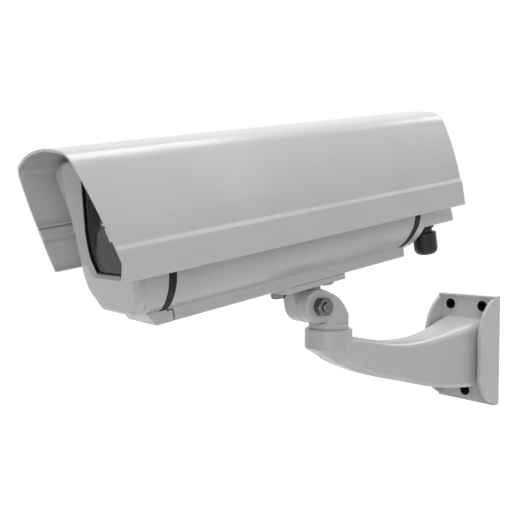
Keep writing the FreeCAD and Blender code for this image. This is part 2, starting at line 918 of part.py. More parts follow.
def lower_body():
    y0 = body_front_y
    y1 = body_rear_y
    outer = body_prism(0, y0, y1)
    hollow = body_prism(body_wall, y0 - 1, y1 + 1)
    below_floor = box(-clear, clear, y0 - 2, y1 + 2, -clear, floor_z)
    hollow = hollow.cut(below_floor)
    inner = body_prism(body_wall / 2, y0, y1)
    shell = outer.cut(hollow)
    ribs = [rib.common(inner) for rib in guide_ribs()]
    ports = [port.common(inner) for port in port_rods(port_r, y0, y1)]
    rail = rail_prism(foot_rear_y + rail_front_gap, rear_cover_y)
    body = shell.fuse([rail] + ribs + ports)
    body = body.cut(box(-clear, clear, y0 - 1, y1 + 20, split_z, clear))
    body = body.fuse(hinge_lower_knuckles() + closing_lugs())
    cuts = port_rods(end_screw_r + screw_gap / 2, y0 - 1, y1 + 1)
    slot = box(-rail_slot_half, rail_slot_half, 0, y1 + 20, rail_bottom_z - 1, rail_bottom_z + rail_lip + 1)
    cavity_low = rail_bottom_z + rail_lip
    cavity = box(-rail_cavity_half, rail_cavity_half, 0, y1 + 20, cavity_low,
                 cavity_low + rail_cavity_height)
    foot_w = rail_half_width + face_gap
    foot_space = box(-foot_w, foot_w, y0 - 1, foot_rear_y + rail_front_gap, -clear,
                     rail_bottom_z + rail_lip + rail_cavity_height)
    cuts += [slot, cavity, foot_space]
    for y in hinge_places:
        half = hinge_inner_length / 2
        cuts.append(rod_y(hinge_x, hinge_z, hinge_pin_r + shaft_gap, y - half - 1, y + half + 1))
        low = hinge_z - lug_thickness
        cuts.append(rod_z(closing_screw_x, y, closing_screw_r + screw_gap, low - 1, hinge_z + 1))
        cuts.append(rod_z(closing_screw_x, y, closing_head_r + screw_gap, low - 1, low + closing_head))
    return single(body.cut(cuts))


def cover_seals():
    middle = body_half_width - body_wall / 2
    low = split_z
    high = cover_edge_z
    x0 = middle - seal_width / 2
    strip = box(x0, x0 + seal_width, body_front_y + 1, body_rear_y - 1, low, high)
    return Part.makeCompound([strip, mirrored(strip)])


def hinge_pins():
    reach = hinge_inner_length / 2 + hinge_gap + hinge_outer_length
    pins = []
    for y in hinge_places:
        pins.append(rod_y(hinge_x, hinge_z, hinge_pin_r, y - reach, y + reach))
    return Part.makeCompound(pins)


def closing_screws():
    low = hinge_z - lug_thickness
    top = hinge_z + foot_height - 1.5
    screws = []
    for y in hinge_places:
        shank = rod_z(closing_screw_x, y, closing_screw_r, low + closing_head - 1, top)
        head = rod_z(closing_screw_x, y, closing_head_r, low, low + closing_head)
        socket = hexagon(4.0, 2.5, V(closing_screw_x, y, low + 2.5), V(0, 0, -1))
        screws.append(shank.fuse(head).cut(socket))
    return Part.makeCompound(screws)


# Cover with the side flanges, hinge and screw feet


def cover_hinge_arms():
    pieces = []
    inner = hinge_inner_length / 2 + hinge_gap
    for y in hinge_places:
        for a, b in ((inner, inner + hinge_outer_length), (-inner - hinge_outer_length, -inner)):
            pieces.append(rod_y(hinge_x, hinge_z, hinge_knuckle_r, y + a, y + b))
            pieces.append(slab_y(
                (
                    (hinge_x, hinge_z + hinge_knuckle_r),
                    (hinge_x + hinge_knuckle_r * 0.7, hinge_z),
                    (-flange_x, hinge_z + face_gap),
                    (-flange_x, hinge_z + 12),
                    (-flange_x - flange_thickness, hinge_z + 12),
                ),
                y + a,
                y + b,
            ))
    return pieces


def cover_feet():
    half = lug_length / 2
    low = hinge_z + face_gap
    return [
        box(flange_x, lug_outer_x, y - half, y + half, low, low + foot_height)
        for y in hinge_places
    ]


def upper_cover():
    y0 = body_front_y + face_gap
    y1 = body_rear_y - face_gap
    outer = body_prism(0, y0, y1)
    hollow = body_prism(body_wall, y0 - 1, y1 + 1)
    shell = outer.cut(hollow).cut(box(-100, 100, y0 - 1, y1 + 1, -100, cover_edge_z))
    low = hinge_z + face_gap
    web_top = cover_edge_z + flange_web
    near = box(flange_x, flange_x + flange_thickness, y0, y1, low, web_top)
    web = box(body_half_width - body_wall / 2, flange_x + flange_thickness, y0, y1, cover_edge_z, web_top)
    far_gap = []
    reach = hinge_inner_length / 2 + hinge_gap
    for y in hinge_places:
        far_gap.append(box(-lug_outer_x - 5, -flange_x + 1, y - reach, y + reach, low - 1, hinge_z + 8))
    body = shell.fuse([near, web, mirrored(near), mirrored(web)])
    body = body.cut(box(-100, -flange_x + 0.5, y0 - 1, y1 + 1, low - 1, hinge_z + 5))
    body = body.fuse(cover_hinge_arms() + cover_feet()).cut(far_gap)
    cuts = []
    for y in hinge_places:
        long_reach = reach + hinge_outer_length + 1
        cuts.append(rod_y(hinge_x, hinge_z, hinge_pin_r + shaft_gap, y - long_reach, y + long_reach))
        cuts.append(rod_z(closing_screw_x, y, closing_screw_r + 0.4, low - 1, low + foot_height + 1))
    for x, y in shield_screw_places():
        cuts.append(rod_z(x, y, shield_screw_r + screw_gap, body_top_z - 12, body_top_z + 2))
    return single(body.cut(cuts))


# Front frame and window


def window_prism(grow, y0, y1):
    return Part.Face(rounded_outline(window_corners, y0, grow)).extrude(V(0, y1 - y0, 0))


def window_funnel():
    """Flare from the window's seat out to the leaning face."""
    seat = glass_front_y - glass_seal
    out = seat - (frame_face_y - frame_face_slope * window_corners[-1][1]) + funnel_lead
    near = rounded_outline(window_corners, seat - out, funnel_slope * out)
    return Part.makeLoft([near, rounded_outline(window_corners, seat, 0.0)], True, True)


def oblique_front(depth):
    """Everything ahead of the leaning front face, moved back by a depth."""
    low = frame_face_y + frame_face_slope * clear + depth
    high = frame_face_y - frame_face_slope * clear + depth
    return slab_x(((-clear, -clear), (low, -clear), (high, clear), (-clear, clear)), -clear, clear)


def frame_foot():
    """Foot under the front frame that reaches back below the gasket to the rail."""
    under_web = rail_bottom_z + rail_lip + rail_cavity_height - face_gap
    joint_y = body_front_y - face_gap
    top = rail_top_z + frame_wall
    profile = (
        (foot_front_y, rail_top_z),
        (foot_toe_y, rail_bottom_z),
        (foot_rear_y, rail_bottom_z),
        (foot_rear_y, under_web),
        (joint_y, under_web),
        (joint_y, rail_top_z),
        (gasket_front_y, rail_top_z),
        (gasket_front_y, top),
        (foot_front_y, top),
    )
    foot = slab_x(profile, -rail_half_width, rail_half_width)
    sides = edges_along(foot, V(0, 1, 0), lambda c: c.z < rail_bottom_z + 0.1)
    return foot.makeFillet(foot_edge_r, sides)


def front_face():
    """Front layer of the frame with its round rim."""
    reach = frame_face_y + frame_waist_depth * 2
    solid = Part.Face(rounded_outline(frame_corners, -10)).extrude(V(0, reach, 0))
    solid = solid.cut(oblique_front(0)).common(oblique_front(frame_waist_depth))
    rim = []
    for edge in solid.Edges:
        c = edge.CenterOfMass
        ahead = frame_face_y - frame_face_slope * c.z
        if abs(c.y - ahead) < 0.3:
            rim.append(edge)
    return solid.makeFillet(frame_edge_r, rim)


def front_frame():
    below = box(-clear, clear, -clear, clear, -clear, rail_top_z)
    rear = body_prism(0, -10, gasket_front_y).cut(oblique_front(frame_waist_depth)).cut(below)
    bosses = [rod.cut(oblique_front(screw_boss_depth)) for rod in
              port_rods(screw_boss_r, -10, gasket_front_y)]
    outer = front_face().fuse([rear] + bosses)
    hollow = body_prism(frame_wall, -10, gasket_front_y + 1).cut(oblique_front(frame_wall + 1.5))
    narrow = Part.Face(rounded_outline(frame_corners, -10, -frame_wall)).extrude(V(0, clear, 0))
    ahead = hollow.common(oblique_front(frame_waist_depth + frame_wall))
    hollow = hollow.cut(ahead).fuse(ahead.common(narrow))
    hollow = hollow.cut(box(-clear, clear, -clear, clear, -clear, rail_top_z + frame_wall))
    body = outer.cut(hollow)
    collar = window_prism(window_overlap + collar_wall, -10, collar_rear_y).common(outer)
    shafts = [rod.common(outer) for rod in port_rods(counterbore_r + 2.2, -10, gasket_front_y)]
    body = body.fuse([collar] + shafts + [frame_foot()])
    cuts = [
        window_prism(0, -20, collar_rear_y + 1),
        window_funnel(),
        window_prism(window_overlap, glass_front_y - glass_seal, collar_rear_y + 1),
    ]
    cuts += port_rods(end_screw_r + screw_gap, -20, gasket_front_y + 1)
    cuts += port_rods(counterbore_r, -20, front_screw_seat_y())
    return single(body.cut(cuts))


def front_screw_seat_y():
    return frame_face_y + 7.0


def gasket(y0, y1):
    ring = body_prism(0, y0, y1).cut(body_prism(gasket_width, y0 - 1, y1 + 1))
    ears = [rod.common(body_prism(0.5, y0, y1)) for rod in port_rods(port_r + 1, y0, y1)]
    return single(ring.fuse(ears).cut(port_rods(end_screw_r + screw_gap, y0 - 1, y1 + 1)))


def open_gasket(y0, y1):
    """Gasket that ends on both sides of the foot or rail, which runs on below it."""
    w = rail_half_width + face_gap
    above = rail_top_z + face_gap
    return single(gasket(y0, y1).cut(box(-w, w, y0 - 1, y1 + 1, -clear, above)))


def front_gasket():
    return open_gasket(gasket_front_y, body_front_y)


def rear_gasket():
    return open_gasket(rear_gasket_y, rear_cover_y)


def window_glass():
    return window_prism(window_overlap - slide_gap, glass_front_y, glass_rear_y)


def window_seal():
    """Flat ring between the frame's seat and the glass."""
    outer = window_prism(window_overlap - slide_gap, glass_front_y - glass_seal, glass_front_y)
    return outer.cut(window_prism(0.2, glass_front_y - glass_seal - 1, glass_front_y + 1))


def window_retainer():
    y0 = glass_rear_y
    y1 = y0 + retainer_thickness
    inner = window_overlap - retainer_width
    ring = window_prism(window_overlap - slide_gap, y0, y1)
    return ring.cut(window_prism(inner, y0 - 1, y1 + 1))


def retainer_clips():
    """Four spring clips that press the retainer forward from the collar's end."""
    clips = []
    y0 = glass_rear_y + retainer_thickness
    y1 = collar_rear_y
    outer = window_prism(window_overlap + collar_wall, y1, y1 + 1.0)
    step = window_prism(window_overlap - slide_gap, y0, y1 + 1.0)
    band = outer.fuse(step).cut(window_prism(-1.0, y0 - 1, y1 + 2))
    for x in (-1, 1):
        for z in (-1, 1):
            cx = x * clip_x
            cz = window_corners[-1][1] if z > 0 else window_corners[0][1]
            clips.append(single(band.common(box(cx - 5, cx + 5, y0, y1 + 1.0, cz - 14, cz + 14))))
    return Part.makeCompound(clips)


def cap_screw(x, z, seat, tip, direction):
    """Socket head screw along y: head on the seat's outer side, shank towards the tip."""
    head_end = seat - direction * end_screw_head
    shank = rod_y(x, z, end_screw_r, min(seat - direction, tip), max(seat - direction, tip))
    head = rod_y(x, z, end_screw_head_r, min(seat, head_end), max(seat, head_end))
    socket = hexagon(4.0, 2.5, V(x, head_end + direction * 2.5, z), V(0, -direction, 0))
    return shank.fuse(head).cut(socket)


def frame_screws():
    tip = body_front_y + end_screw_reach
    return Part.makeCompound([
        cap_screw(x, port_z, front_screw_seat_y(), tip, 1) for x in (-port_x, port_x)
    ])


# Rear cover and glands


def rear_outline(inset):
    """Block with round rear corners whose end leans forward towards the top."""
    w = body_half_width - inset
    front = rear_cover_y - 1
    low = rear_end_y - inset + rear_end_slope * 100
    high = rear_end_y - inset - rear_end_slope * 100
    block = slab_x(((front, -100), (low, -100), (high, 100), (front, 100)), -w, w)
    corners = [e for e in block.Edges if e.Length > 200.5 or abs(e.CenterOfMass.y - rear_end_y + inset) < 1]
    corners = [e for e in corners if abs(abs(e.CenterOfMass.x) - w) < 0.1]
    return block.makeFillet(rear_corner_r - inset, corners)


def rear_cover():
    far = rear_end_y + 20
    outer = body_prism(0, rear_cover_y, far).common(rear_outline(0))
    shelf = box(-100, 100, rear_strip_y, far, -100, rear_shelf_z)
    outer = outer.cut(shelf)
    hollow = body_prism(rear_wall, rear_cover_y - 1, far).common(rear_outline(rear_wall))
    solid_low = box(-100, 100, rear_strip_y - rear_wall, far, -100, rear_shelf_z + rear_wall)
    hollow = hollow.cut(solid_low)
    body = outer.cut(hollow)
    tubes = [rod.common(outer) for rod in port_rods(counterbore_r + 2.0, rear_cover_y, far)]
    body = body.fuse(tubes)
    cuts = port_rods(end_screw_r + screw_gap, rear_cover_y - 1, far)
    cuts += port_rods(counterbore_r, rear_screw_seat_y, far)
    for x in (-gland_x, gland_x):
        cuts.append(rod_z(x, gland_y, gland_thread_r + screw_gap, rear_shelf_z - 1, rear_shelf_z + 8))
    return single(body.cut(cuts))


def rear_screws():
    tip = body_rear_y - end_screw_reach
    return Part.makeCompound([
        cap_screw(x, port_z, rear_screw_seat_y, tip, -1) for x in (-port_x, port_x)
    ])


def on_both_glands(piece):
    return Part.makeCompound([piece(-gland_x), piece(gland_x)])


def gland_body(x):
    flange_low = rear_shelf_z - gland_flange_height
    neck_low = flange_low - gland_neck_height - 6
    thread = rod_z(x, gland_y, gland_thread_r, flange_low - 1, rear_shelf_z + gland_spigot)
    flange = rod_z(x, gland_y, gland_flange_r, flange_low, rear_shelf_z)
    rim = [e for e in flange.Edges if abs(e.CenterOfMass.z - flange_low) < 0.01]
    flange = flange.makeChamfer(0.8, rim)
    neck = rod_z(x, gland_y, gland_neck_r, neck_low, flange_low)
    body = thread.fuse([flange, neck])
    return body.cut(rod_z(x, gland_y, gland_bore_r, neck_low - 1, rear_shelf_z + gland_spigot + 1))


def gland_cap(x):
    """Domed cap nut, turned about its own axis, open at the lower end."""
    top = rear_shelf_z - gland_flange_height - gland_neck_height
    low = top - gland_cap_height
    r = gland_cap_r
    inner = gland_neck_r + 0.05
    side_z = low + gland_cap_dome
    mid = V(r - 1.6, 0, low + 2.4)
    lip = gland_bore_r + 1.0
    edges = [
        Part.makeLine(V(inner, 0, top), V(r - 0.8, 0, top)),
        Part.makeLine(V(r - 0.8, 0, top), V(r, 0, top - 0.8)),
        Part.makeLine(V(r, 0, top - 0.8), V(r, 0, side_z)),
        Part.Arc(V(r, 0, side_z), mid, V(lip, 0, low)).toShape(),
        Part.makeLine(V(lip, 0, low), V(lip, 0, low + 2.2)),
        Part.makeLine(V(lip, 0, low + 2.2), V(inner, 0, low + 6.5)),
        Part.makeLine(V(inner, 0, low + 6.5), V(inner, 0, top)),
    ]
    cap = Part.Face(Part.Wire(edges)).revolve(V(0, 0, 0), V(0, 0, 1), 360)
    return cap.translated(V(x, gland_y, 0))


def gland_seal(x):
    """Rubber sleeve inside the cap, between its taper and the body's neck."""
    top = rear_shelf_z - gland_flange_height - gland_neck_height - 6.1
    low = rear_shelf_z - gland_flange_height - gland_neck_height - gland_cap_height + 7.0
    return ring_z(x, gland_y, gland_neck_r - 0.2, gland_seal_bore_r, low, top)


def gland_locknut(x):
    low = rear_shelf_z + rear_wall
    nut = hexagon(gland_nut_flats, gland_nut_height, V(x, gland_y, low), V(0, 0, 1))
    return nut.cut(rod_z(x, gland_y, gland_thread_r + 0.05, low - 1, low + gland_nut_height + 1))


# Sunshield


def shield_prism(inset, y0, y1):
    """Solid of the hood's outline, moved inwards by an inset, open ends left plain."""
    low = V(shield_lower_x - inset, y0, shield_lower_z - inset)
    crease = V(shield_crease_x - inset, y0, 0)
    shoulder = V(shield_shoulder_x - inset * 0.9, y0, shield_shoulder_z - inset * 0.9)
    top = V(0, y0, shield_top_z - inset)
    side = (crease + shoulder) * 0.5 + V(shield_side_bulge, 0, shield_side_bulge * 0.24)
    edges = [
        Part.makeLine(V(-low.x, y0, low.z), low),
        Part.makeLine(low, crease),
        Part.Arc(crease, side, shoulder).toShape(),
        Part.Arc(shoulder, top, V(-shoulder.x, y0, shoulder.z)).toShape(),
        Part.Arc(V(-shoulder.x, y0, shoulder.z), V(-side.x, y0, side.z), V(-crease.x, y0, 0)).toShape(),
        Part.makeLine(V(-crease.x, y0, 0), V(-low.x, y0, low.z)),
    ]
    solid = Part.Face(Part.Wire(edges)).extrude(V(0, y1 - y0, 0))
    corners = edges_along(solid, V(0, 1, 0), lambda c: abs(c.z - shoulder.z) < 0.1)
    return solid.makeFillet(shield_shoulder_r - inset, corners)


def shield_inner_features(y0, y1):
    """Rail, groove hook and hem on each side wall, and the pads under the crown."""
    wall = shield_crease_x - shield_wall
    rail = box(wall - shield_rail_depth - 1.5, wall + 1, y0, y1, shield_rail_z,
               shield_rail_z + shield_rail_height)
    hook_z = shield_rail_z + shield_rail_height + shield_groove
    hook = box(wall - shield_rail_depth - 3.0, wall, y0, y1, hook_z, hook_z + shield_hook)
    hem_x = shield_lower_x - shield_wall
    hem = box(hem_x - shield_hem, hem_x + 1, y0, y1, shield_lower_z, shield_lower_z + shield_hook)
    pad = box(shield_pad_x - shield_pad_half, shield_pad_x + shield_pad_half, shield_pad_front_y, y1,
              shield_pad_z, shield_pad_z + shield_pad_rise)
    near = [rail, hook, hem, pad]
    return near + [mirrored(piece) for piece in near]


def shield_screw_places():
    return tuple((x, y) for x in (-shield_pad_x, shield_pad_x) for y in hinge_places)


def sunshield():
    y0 = -shield_front_slope * shield_top_z - 5
    y1 = shield_length
    outer = shield_prism(0, y0, y1)
    hollow = shield_prism(shield_wall, y0 - 1, y1 + 1)
    body = outer.cut(hollow)
    features = [piece.common(outer) for piece in shield_inner_features(y0, y1)]
    body = body.fuse(features)
    z0 = -60
    z1 = 120
    front = slab_x(
        ((-200, z0), (-shield_front_slope * z0, z0), (-shield_front_slope * z1, z1), (-200, z1)),
        -120,
        120,
    )
    body = body.cut(front)
    for x, y in shield_screw_places():
        hole_top = shield_pad_z + shield_screw_reach
        body = body.cut(rod_z(x, y, shield_screw_r + 0.05, shield_pad_z - 1, hole_top))
    return single(body)


def shield_spacers():
    bore = shield_screw_r + screw_gap
    return Part.makeCompound([
        ring_z(x, y, spacer_r, bore, spacer_seat_z + 0.2, shield_pad_z) for x, y in shield_screw_places()
    ])


def shield_screws():
    seat = body_top_z - body_wall - 0.5
    screws = []
    for x, y in shield_screw_places():
        shank = rod_z(x, y, shield_screw_r, seat - 1, shield_pad_z + shield_screw_reach - 0.3)
        head = rod_z(x, y, shield_screw_head_r, seat - shield_screw_head, seat)
        socket = hexagon(3.5, 2.0, V(x, y, seat - shield_screw_head + 2), V(0, 0, -1))
        screws.append(shank.fuse(head).cut(socket))
    return Part.makeCompound(screws)


# Inside: tray, heater, board


def camera_tray():
    y0 = tray_front_y
    y1 = y0 + tray_length
    z0 = tray_under_z
    z1 = tray_top_z
    plate = box(-tray_half_width, tray_half_width, y0, y1, z0, z1)
    flange = box(-30, 30, y0, y0 + tray_thickness, z0, z1 + tray_flange)
    middle = (y0 + y1) / 2
    half = tray_slot_length / 2
    slot = box(-tray_slot_half, tray_slot_half, middle - half, middle + half, z0 - 1, z1 + 1)
    ends = [rod_z(0, y, tray_slot_half, z0 - 1, z1 + 1) for y in (middle - half, middle + half)]
    return single(plate.fuse(flange).cut([slot] + ends))


def camera_screw():
    """Captive screw: a narrow neck in the tray's slot and the thread above it."""
    y = tray_front_y + tray_length / 2 - 20
    head_top = tray_under_z
    neck_top = tray_top_z + camera_neck_rise
    head = rod_z(0, y, camera_screw_head_r, head_top - camera_screw_head, head_top)
    neck = rod_z(0, y, camera_neck_r, head_top - 1, neck_top + 1)
    thread = rod_z(0, y, camera_screw_r, neck_top, tray_top_z + camera_screw_height)
    return head.fuse([neck, thread])


def heater():
    y0 = heater_front_y
    y1 = y0 + heater_length
    w = heater_half_width
    base = box(-w, w, y0, y1, floor_z, floor_z + heater_base)
    pitch = (2 * w - heater_fin) / (heater_fins - 1)
    fins = []
    for i in range(heater_fins):
        x = -w + i * pitch
        fins.append(box(x, x + heater_fin, y0, y1, floor_z, floor_z + heater_base + heater_fin_height))
    return single(base.fuse(fins))


def standoff_places():
    x = board_half_width - standoff_inset
    y0 = board_front_y + standoff_inset
    y1 = board_front_y + board_length - standoff_inset
    return ((-x, y0), (x, y0), (-x, y1), (x, y1))


def board_standoffs():
    top = floor_z + standoff_height
    return Part.makeCompound([rod_z(x, y, standoff_r, floor_z, top) for x, y in standoff_places()])


def circuit_board():
    low = floor_z + standoff_height
    y1 = board_front_y + board_length
    return box(-board_half_width, board_half_width, board_front_y, y1, low, low + board_thickness)


def terminal_block():
    low = floor_z + standoff_height + board_thickness
    y1 = board_front_y + board_length - 12
    y0 = y1 - terminal_length
    w = terminal_half_width
    block = box(-w, w, y0, y1, low, low + terminal_height)
    pitch = 2 * w / terminal_ways
    cuts = []
    for i in range(terminal_ways):
        x = -w + (i + 0.5) * pitch
        cuts.append(rod_z(x, y0 + terminal_length / 2, 2.0, low + terminal_height - 3, low + 20))
        cuts.append(box(x - 1.8, x + 1.8, y1 - 4, y1 + 1, low + 1.5, low + 5.5))
    return block.cut(cuts)


def build():
    swivel = swivel_placement()
    housing = housing_placement()
    save("wall_bracket", wall_bracket())
    for name, make in (
        ("swivel_head", swivel_head),
        ("swivel_bolt", swivel_bolt),
        ("swivel_washer", swivel_washer),
        ("tilt_bolt", tilt_bolt),
        ("tilt_washers", tilt_washers),
        ("tilt_nut", tilt_nut),
    ):
        save(name, make(), swivel)
    for name, make in (
        ("adaptor_knuckle", adaptor_knuckle),
        ("adaptor_bolts", adaptor_bolts),
        ("adaptor_washers", adaptor_washers),
        ("rail_nuts", rail_nuts),
        ("lower_body", lower_body),
        ("cover_seals", cover_seals),
        ("hinge_pins", hinge_pins),
        ("closing_screws", closing_screws),
        ("upper_cover", upper_cover),
        ("front_frame", front_frame),
        ("front_gasket", front_gasket),
        ("window_glass", window_glass),
        ("window_seal", window_seal),
        ("window_retainer", window_retainer),
        ("retainer_clips", retainer_clips),
        ("frame_screws", frame_screws),
        ("rear_gasket", rear_gasket),
        ("rear_cover", rear_cover),
        ("rear_screws", rear_screws),
        ("sunshield", sunshield),
        ("shield_spacers", shield_spacers),
        ("shield_screws", shield_screws),
        ("camera_tray", camera_tray),
        ("camera_screw", camera_screw),
        ("heater", heater),
        ("board_standoffs", board_standoffs),
        ("circuit_board", circuit_board),
        ("terminal_block", terminal_block),
    ):
        save(name, make(), housing)
    for name, make in (
        ("gland_bodies", gland_body),
        ("gland_caps", gland_cap),
        ("gland_seals", gland_seal),
        ("gland_locknuts", gland_locknut),
    ):
        save(name, on_both_glands(make), housing)


build()
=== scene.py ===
import json
import math

import bmesh
import bpy
from bpy.props import FloatProperty, FloatVectorProperty, IntProperty, PointerProperty
from mathutils import Matrix, Vector

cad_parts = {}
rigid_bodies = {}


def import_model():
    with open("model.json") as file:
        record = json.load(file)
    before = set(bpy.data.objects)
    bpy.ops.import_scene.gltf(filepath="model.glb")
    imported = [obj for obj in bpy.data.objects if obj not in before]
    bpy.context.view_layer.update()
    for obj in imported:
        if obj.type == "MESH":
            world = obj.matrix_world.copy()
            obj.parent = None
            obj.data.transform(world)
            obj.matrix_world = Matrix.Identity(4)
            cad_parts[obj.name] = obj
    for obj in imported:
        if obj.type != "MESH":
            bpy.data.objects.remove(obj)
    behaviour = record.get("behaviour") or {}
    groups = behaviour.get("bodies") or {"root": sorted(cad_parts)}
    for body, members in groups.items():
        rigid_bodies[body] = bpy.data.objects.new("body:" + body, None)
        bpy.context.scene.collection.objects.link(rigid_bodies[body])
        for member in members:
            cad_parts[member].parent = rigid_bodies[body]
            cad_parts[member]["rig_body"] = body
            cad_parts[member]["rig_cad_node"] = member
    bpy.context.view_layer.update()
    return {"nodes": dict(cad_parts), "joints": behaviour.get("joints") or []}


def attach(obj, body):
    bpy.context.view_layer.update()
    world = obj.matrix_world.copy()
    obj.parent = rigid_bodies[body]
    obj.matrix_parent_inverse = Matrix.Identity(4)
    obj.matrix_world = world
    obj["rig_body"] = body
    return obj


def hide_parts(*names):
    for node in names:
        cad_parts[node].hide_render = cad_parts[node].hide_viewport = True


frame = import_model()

bl_info = {
    "name": "Camera housing finish",
    "version": (1, 0, 0),
    "blender": (4, 5, 0),
    "location": "3D Viewport > Sidebar > Housing",
    "description": "Finishes a wall mounted camera housing: powder coat, seals, screws, window and stage",
    "category": "Object",
}

# Places in the housing's own frame, in metres: x across it, y along it from the front, z up

TILT_AXIS = Vector((0.0, 0.223, -0.100))
FACE_FRONT = 0.0171
FACE_LEAN = 0.103
FRAME_LEDGE = 0.0090
LAYER_END = 0.0251
SEAM_TOP = 0.010
SEAM_LAP = 0.00005
SEAM_REACH = 0.009
MEETING_TOP = -0.004
MEETING_GROWTH = 1.0008
SHIELD_HALF = 0.0815
SHIELD_LEAN = 0.1
SHIELD_OUTSIDE = 0.0805
CREASE_ABOVE = 0.62
CREASE_LEVELS = 9
TOUCH = 1e-6
LIP_FRONT = 0.0233
LIP_DEPTH = 0.0012
LINER_FRONT = 0.0318
LINER_WALL = 0.0010
LINER_DEPTH = 0.0200
BOARD_TOP = -0.0525
CAMERA_SCREW = (0.0, 0.167, -0.0378)

# Half of each window outline, from the bottom up: x, z and corner radius

WINDOW_CORNERS = (
    (0.0283, -0.0274, 0.005),
    (0.0388, -0.0125, 0.022),
    (0.0388, 0.0080, 0.040),
    (0.0250, 0.0570, 0.009),
)
# Outline of the black liner behind the window, a dark ring that is painted shade for the housing's unlit
# inside
LINER_CORNERS = (
    (0.0340, -0.0372, 0.006),
    (0.0455, -0.0165, 0.022),
    (0.0455, 0.0105, 0.040),
    (0.0315, 0.0664, 0.010),
)

# Blocks soldered to the circuit board: size, then x, y and the middle's height over the board

BOARD_BLOCKS = (
    ((0.0150, 0.0180, 0.0080), (0.0140, 0.2300, 0.0040)),
    ((0.0158, 0.0188, 0.0012), (0.0140, 0.2300, 0.0006)),
    ((0.0180, 0.0060, 0.0085), (-0.0120, 0.2310, 0.00425)),
    ((0.0120, 0.0160, 0.0072), (-0.0120, 0.2310, 0.0036)),
    ((0.0074, 0.0100, 0.0016), (0.0, 0.2530, 0.0009)),
)

# Places in the world's frame

PLATE_HOLES = ((-0.0225, 0.054), (0.0225, 0.054), (0.0, -0.054))
STAGE_MIDDLE = (0.0, -0.3, 0.1)
FLOOR_SIZE = 12.0
FLOOR_GLOW = 0.90

# Softboxes: name, setting that holds the power, size and place

SOFTBOXES = (
    ("top softbox", "top_lamp", (0.9, 0.9), (0.0, -0.3, 1.6)),
    ("front softbox", "front_lamp", (1.2, 1.2), (-0.5, -1.7, 0.7)),
    ("side softbox", "side_lamp", (1.1, 1.1), (1.15, -1.40, 0.36)),
    ("strip softbox", "strip_lamp", (0.07, 1.4), (1.05, 0.10, 1.25)),
    ("rim softbox", "rim_lamp", (0.62, 1.1), (0.40, 1.3, 1.35)),
)


def joint_of(name):
    """The frame's entry for a joint."""
    return next(joint for joint in frame["joints"] if joint["name"] == name)


def housing_place():
    """Where the housing stands at rest: x across it, y along it from the front, z up."""
    across = Vector(joint_of("tilt")["axis"]).normalized()
    along = Vector(joint_of("tray_slide")["axis"]).normalized()
    turn = Matrix((across, along, across.cross(along))).transposed().to_4x4()
    pivot = Vector(joint_of("tilt")["pos_m"])
    return Matrix.Translation(pivot) @ turn @ Matrix.Translation(-TILT_AXIS)


PAN_AXIS = Vector(joint_of("pan")["pos_m"])
HOUSING = housing_place()
FROM_HOUSING = HOUSING.inverted()


# Sizes and colours that a user may change


class HousingFinish(bpy.types.PropertyGroup):
    """Colours and surface grain of the finishes."""

    coat: FloatVectorProperty(
        name="Powder coat", description="Colour of the light grey powder coat",
        subtype="COLOR", size=3, min=0.0, max=1.0, default=(0.560, 0.564, 0.568))
    coat_shade: FloatVectorProperty(
        name="Coat shade", description="Slightly darker tone in the clouding of the coat",
        subtype="COLOR", size=3, min=0.0, max=1.0, default=(0.540, 0.545, 0.550))
    coat_roughness: FloatProperty(
        name="Coat roughness", description="Middle roughness of the powder coat",
        subtype="FACTOR", min=0.0, max=1.0, default=0.27)
    coat_grain: FloatProperty(
        name="Coat grain", description="Grain size of the powder coat's surface",
        unit="LENGTH", min=0.0001, max=0.01, default=0.0007)
    # The zinc colour is kept dark as painted shade: it stands in for dark reflections of the surroundings
    zinc: FloatVectorProperty(
        name="Zinc", description="Colour of the zinc plated screws",
        subtype="COLOR", size=3, min=0.0, max=1.0, default=(0.15, 0.15, 0.154))
    alloy: FloatVectorProperty(
        name="Alloy", description="Colour of the bare aluminium pieces",
        subtype="COLOR", size=3, min=0.0, max=1.0, default=(0.42, 0.43, 0.44))
    rubber: FloatVectorProperty(
        name="Rubber", description="Colour of the gaskets and seals",
        subtype="COLOR", size=3, min=0.0, max=1.0, default=(0.006, 0.006, 0.0065))
    plastic: FloatVectorProperty(
        name="Black plastic", description="Colour of the glands and spacers",
        subtype="COLOR", size=3, min=0.0, max=1.0, default=(0.008, 0.008, 0.009))
    # Dark tint of the window: painted shade that stands in for the shade inside the housing behind clear
    # glass
    window_shade_tint: FloatVectorProperty(
        name="Glass tint", description="Tint of the window",
        subtype="COLOR", size=3, min=0.0, max=1.0, default=(0.29, 0.32, 0.32))
    board: FloatVectorProperty(
        name="Board lacquer", description="Colour of the circuit board",
        subtype="COLOR", size=3, min=0.0, max=1.0, default=(0.010, 0.080, 0.028))
    terminal: FloatVectorProperty(
        name="Terminal block", description="Colour of the terminal block",
        subtype="COLOR", size=3, min=0.0, max=1.0, default=(0.020, 0.160, 0.050))
    brass: FloatVectorProperty(
        name="Brass", description="Colour of the board's pillars",
        subtype="COLOR", size=3, min=0.0, max=1.0, default=(0.60, 0.42, 0.16))


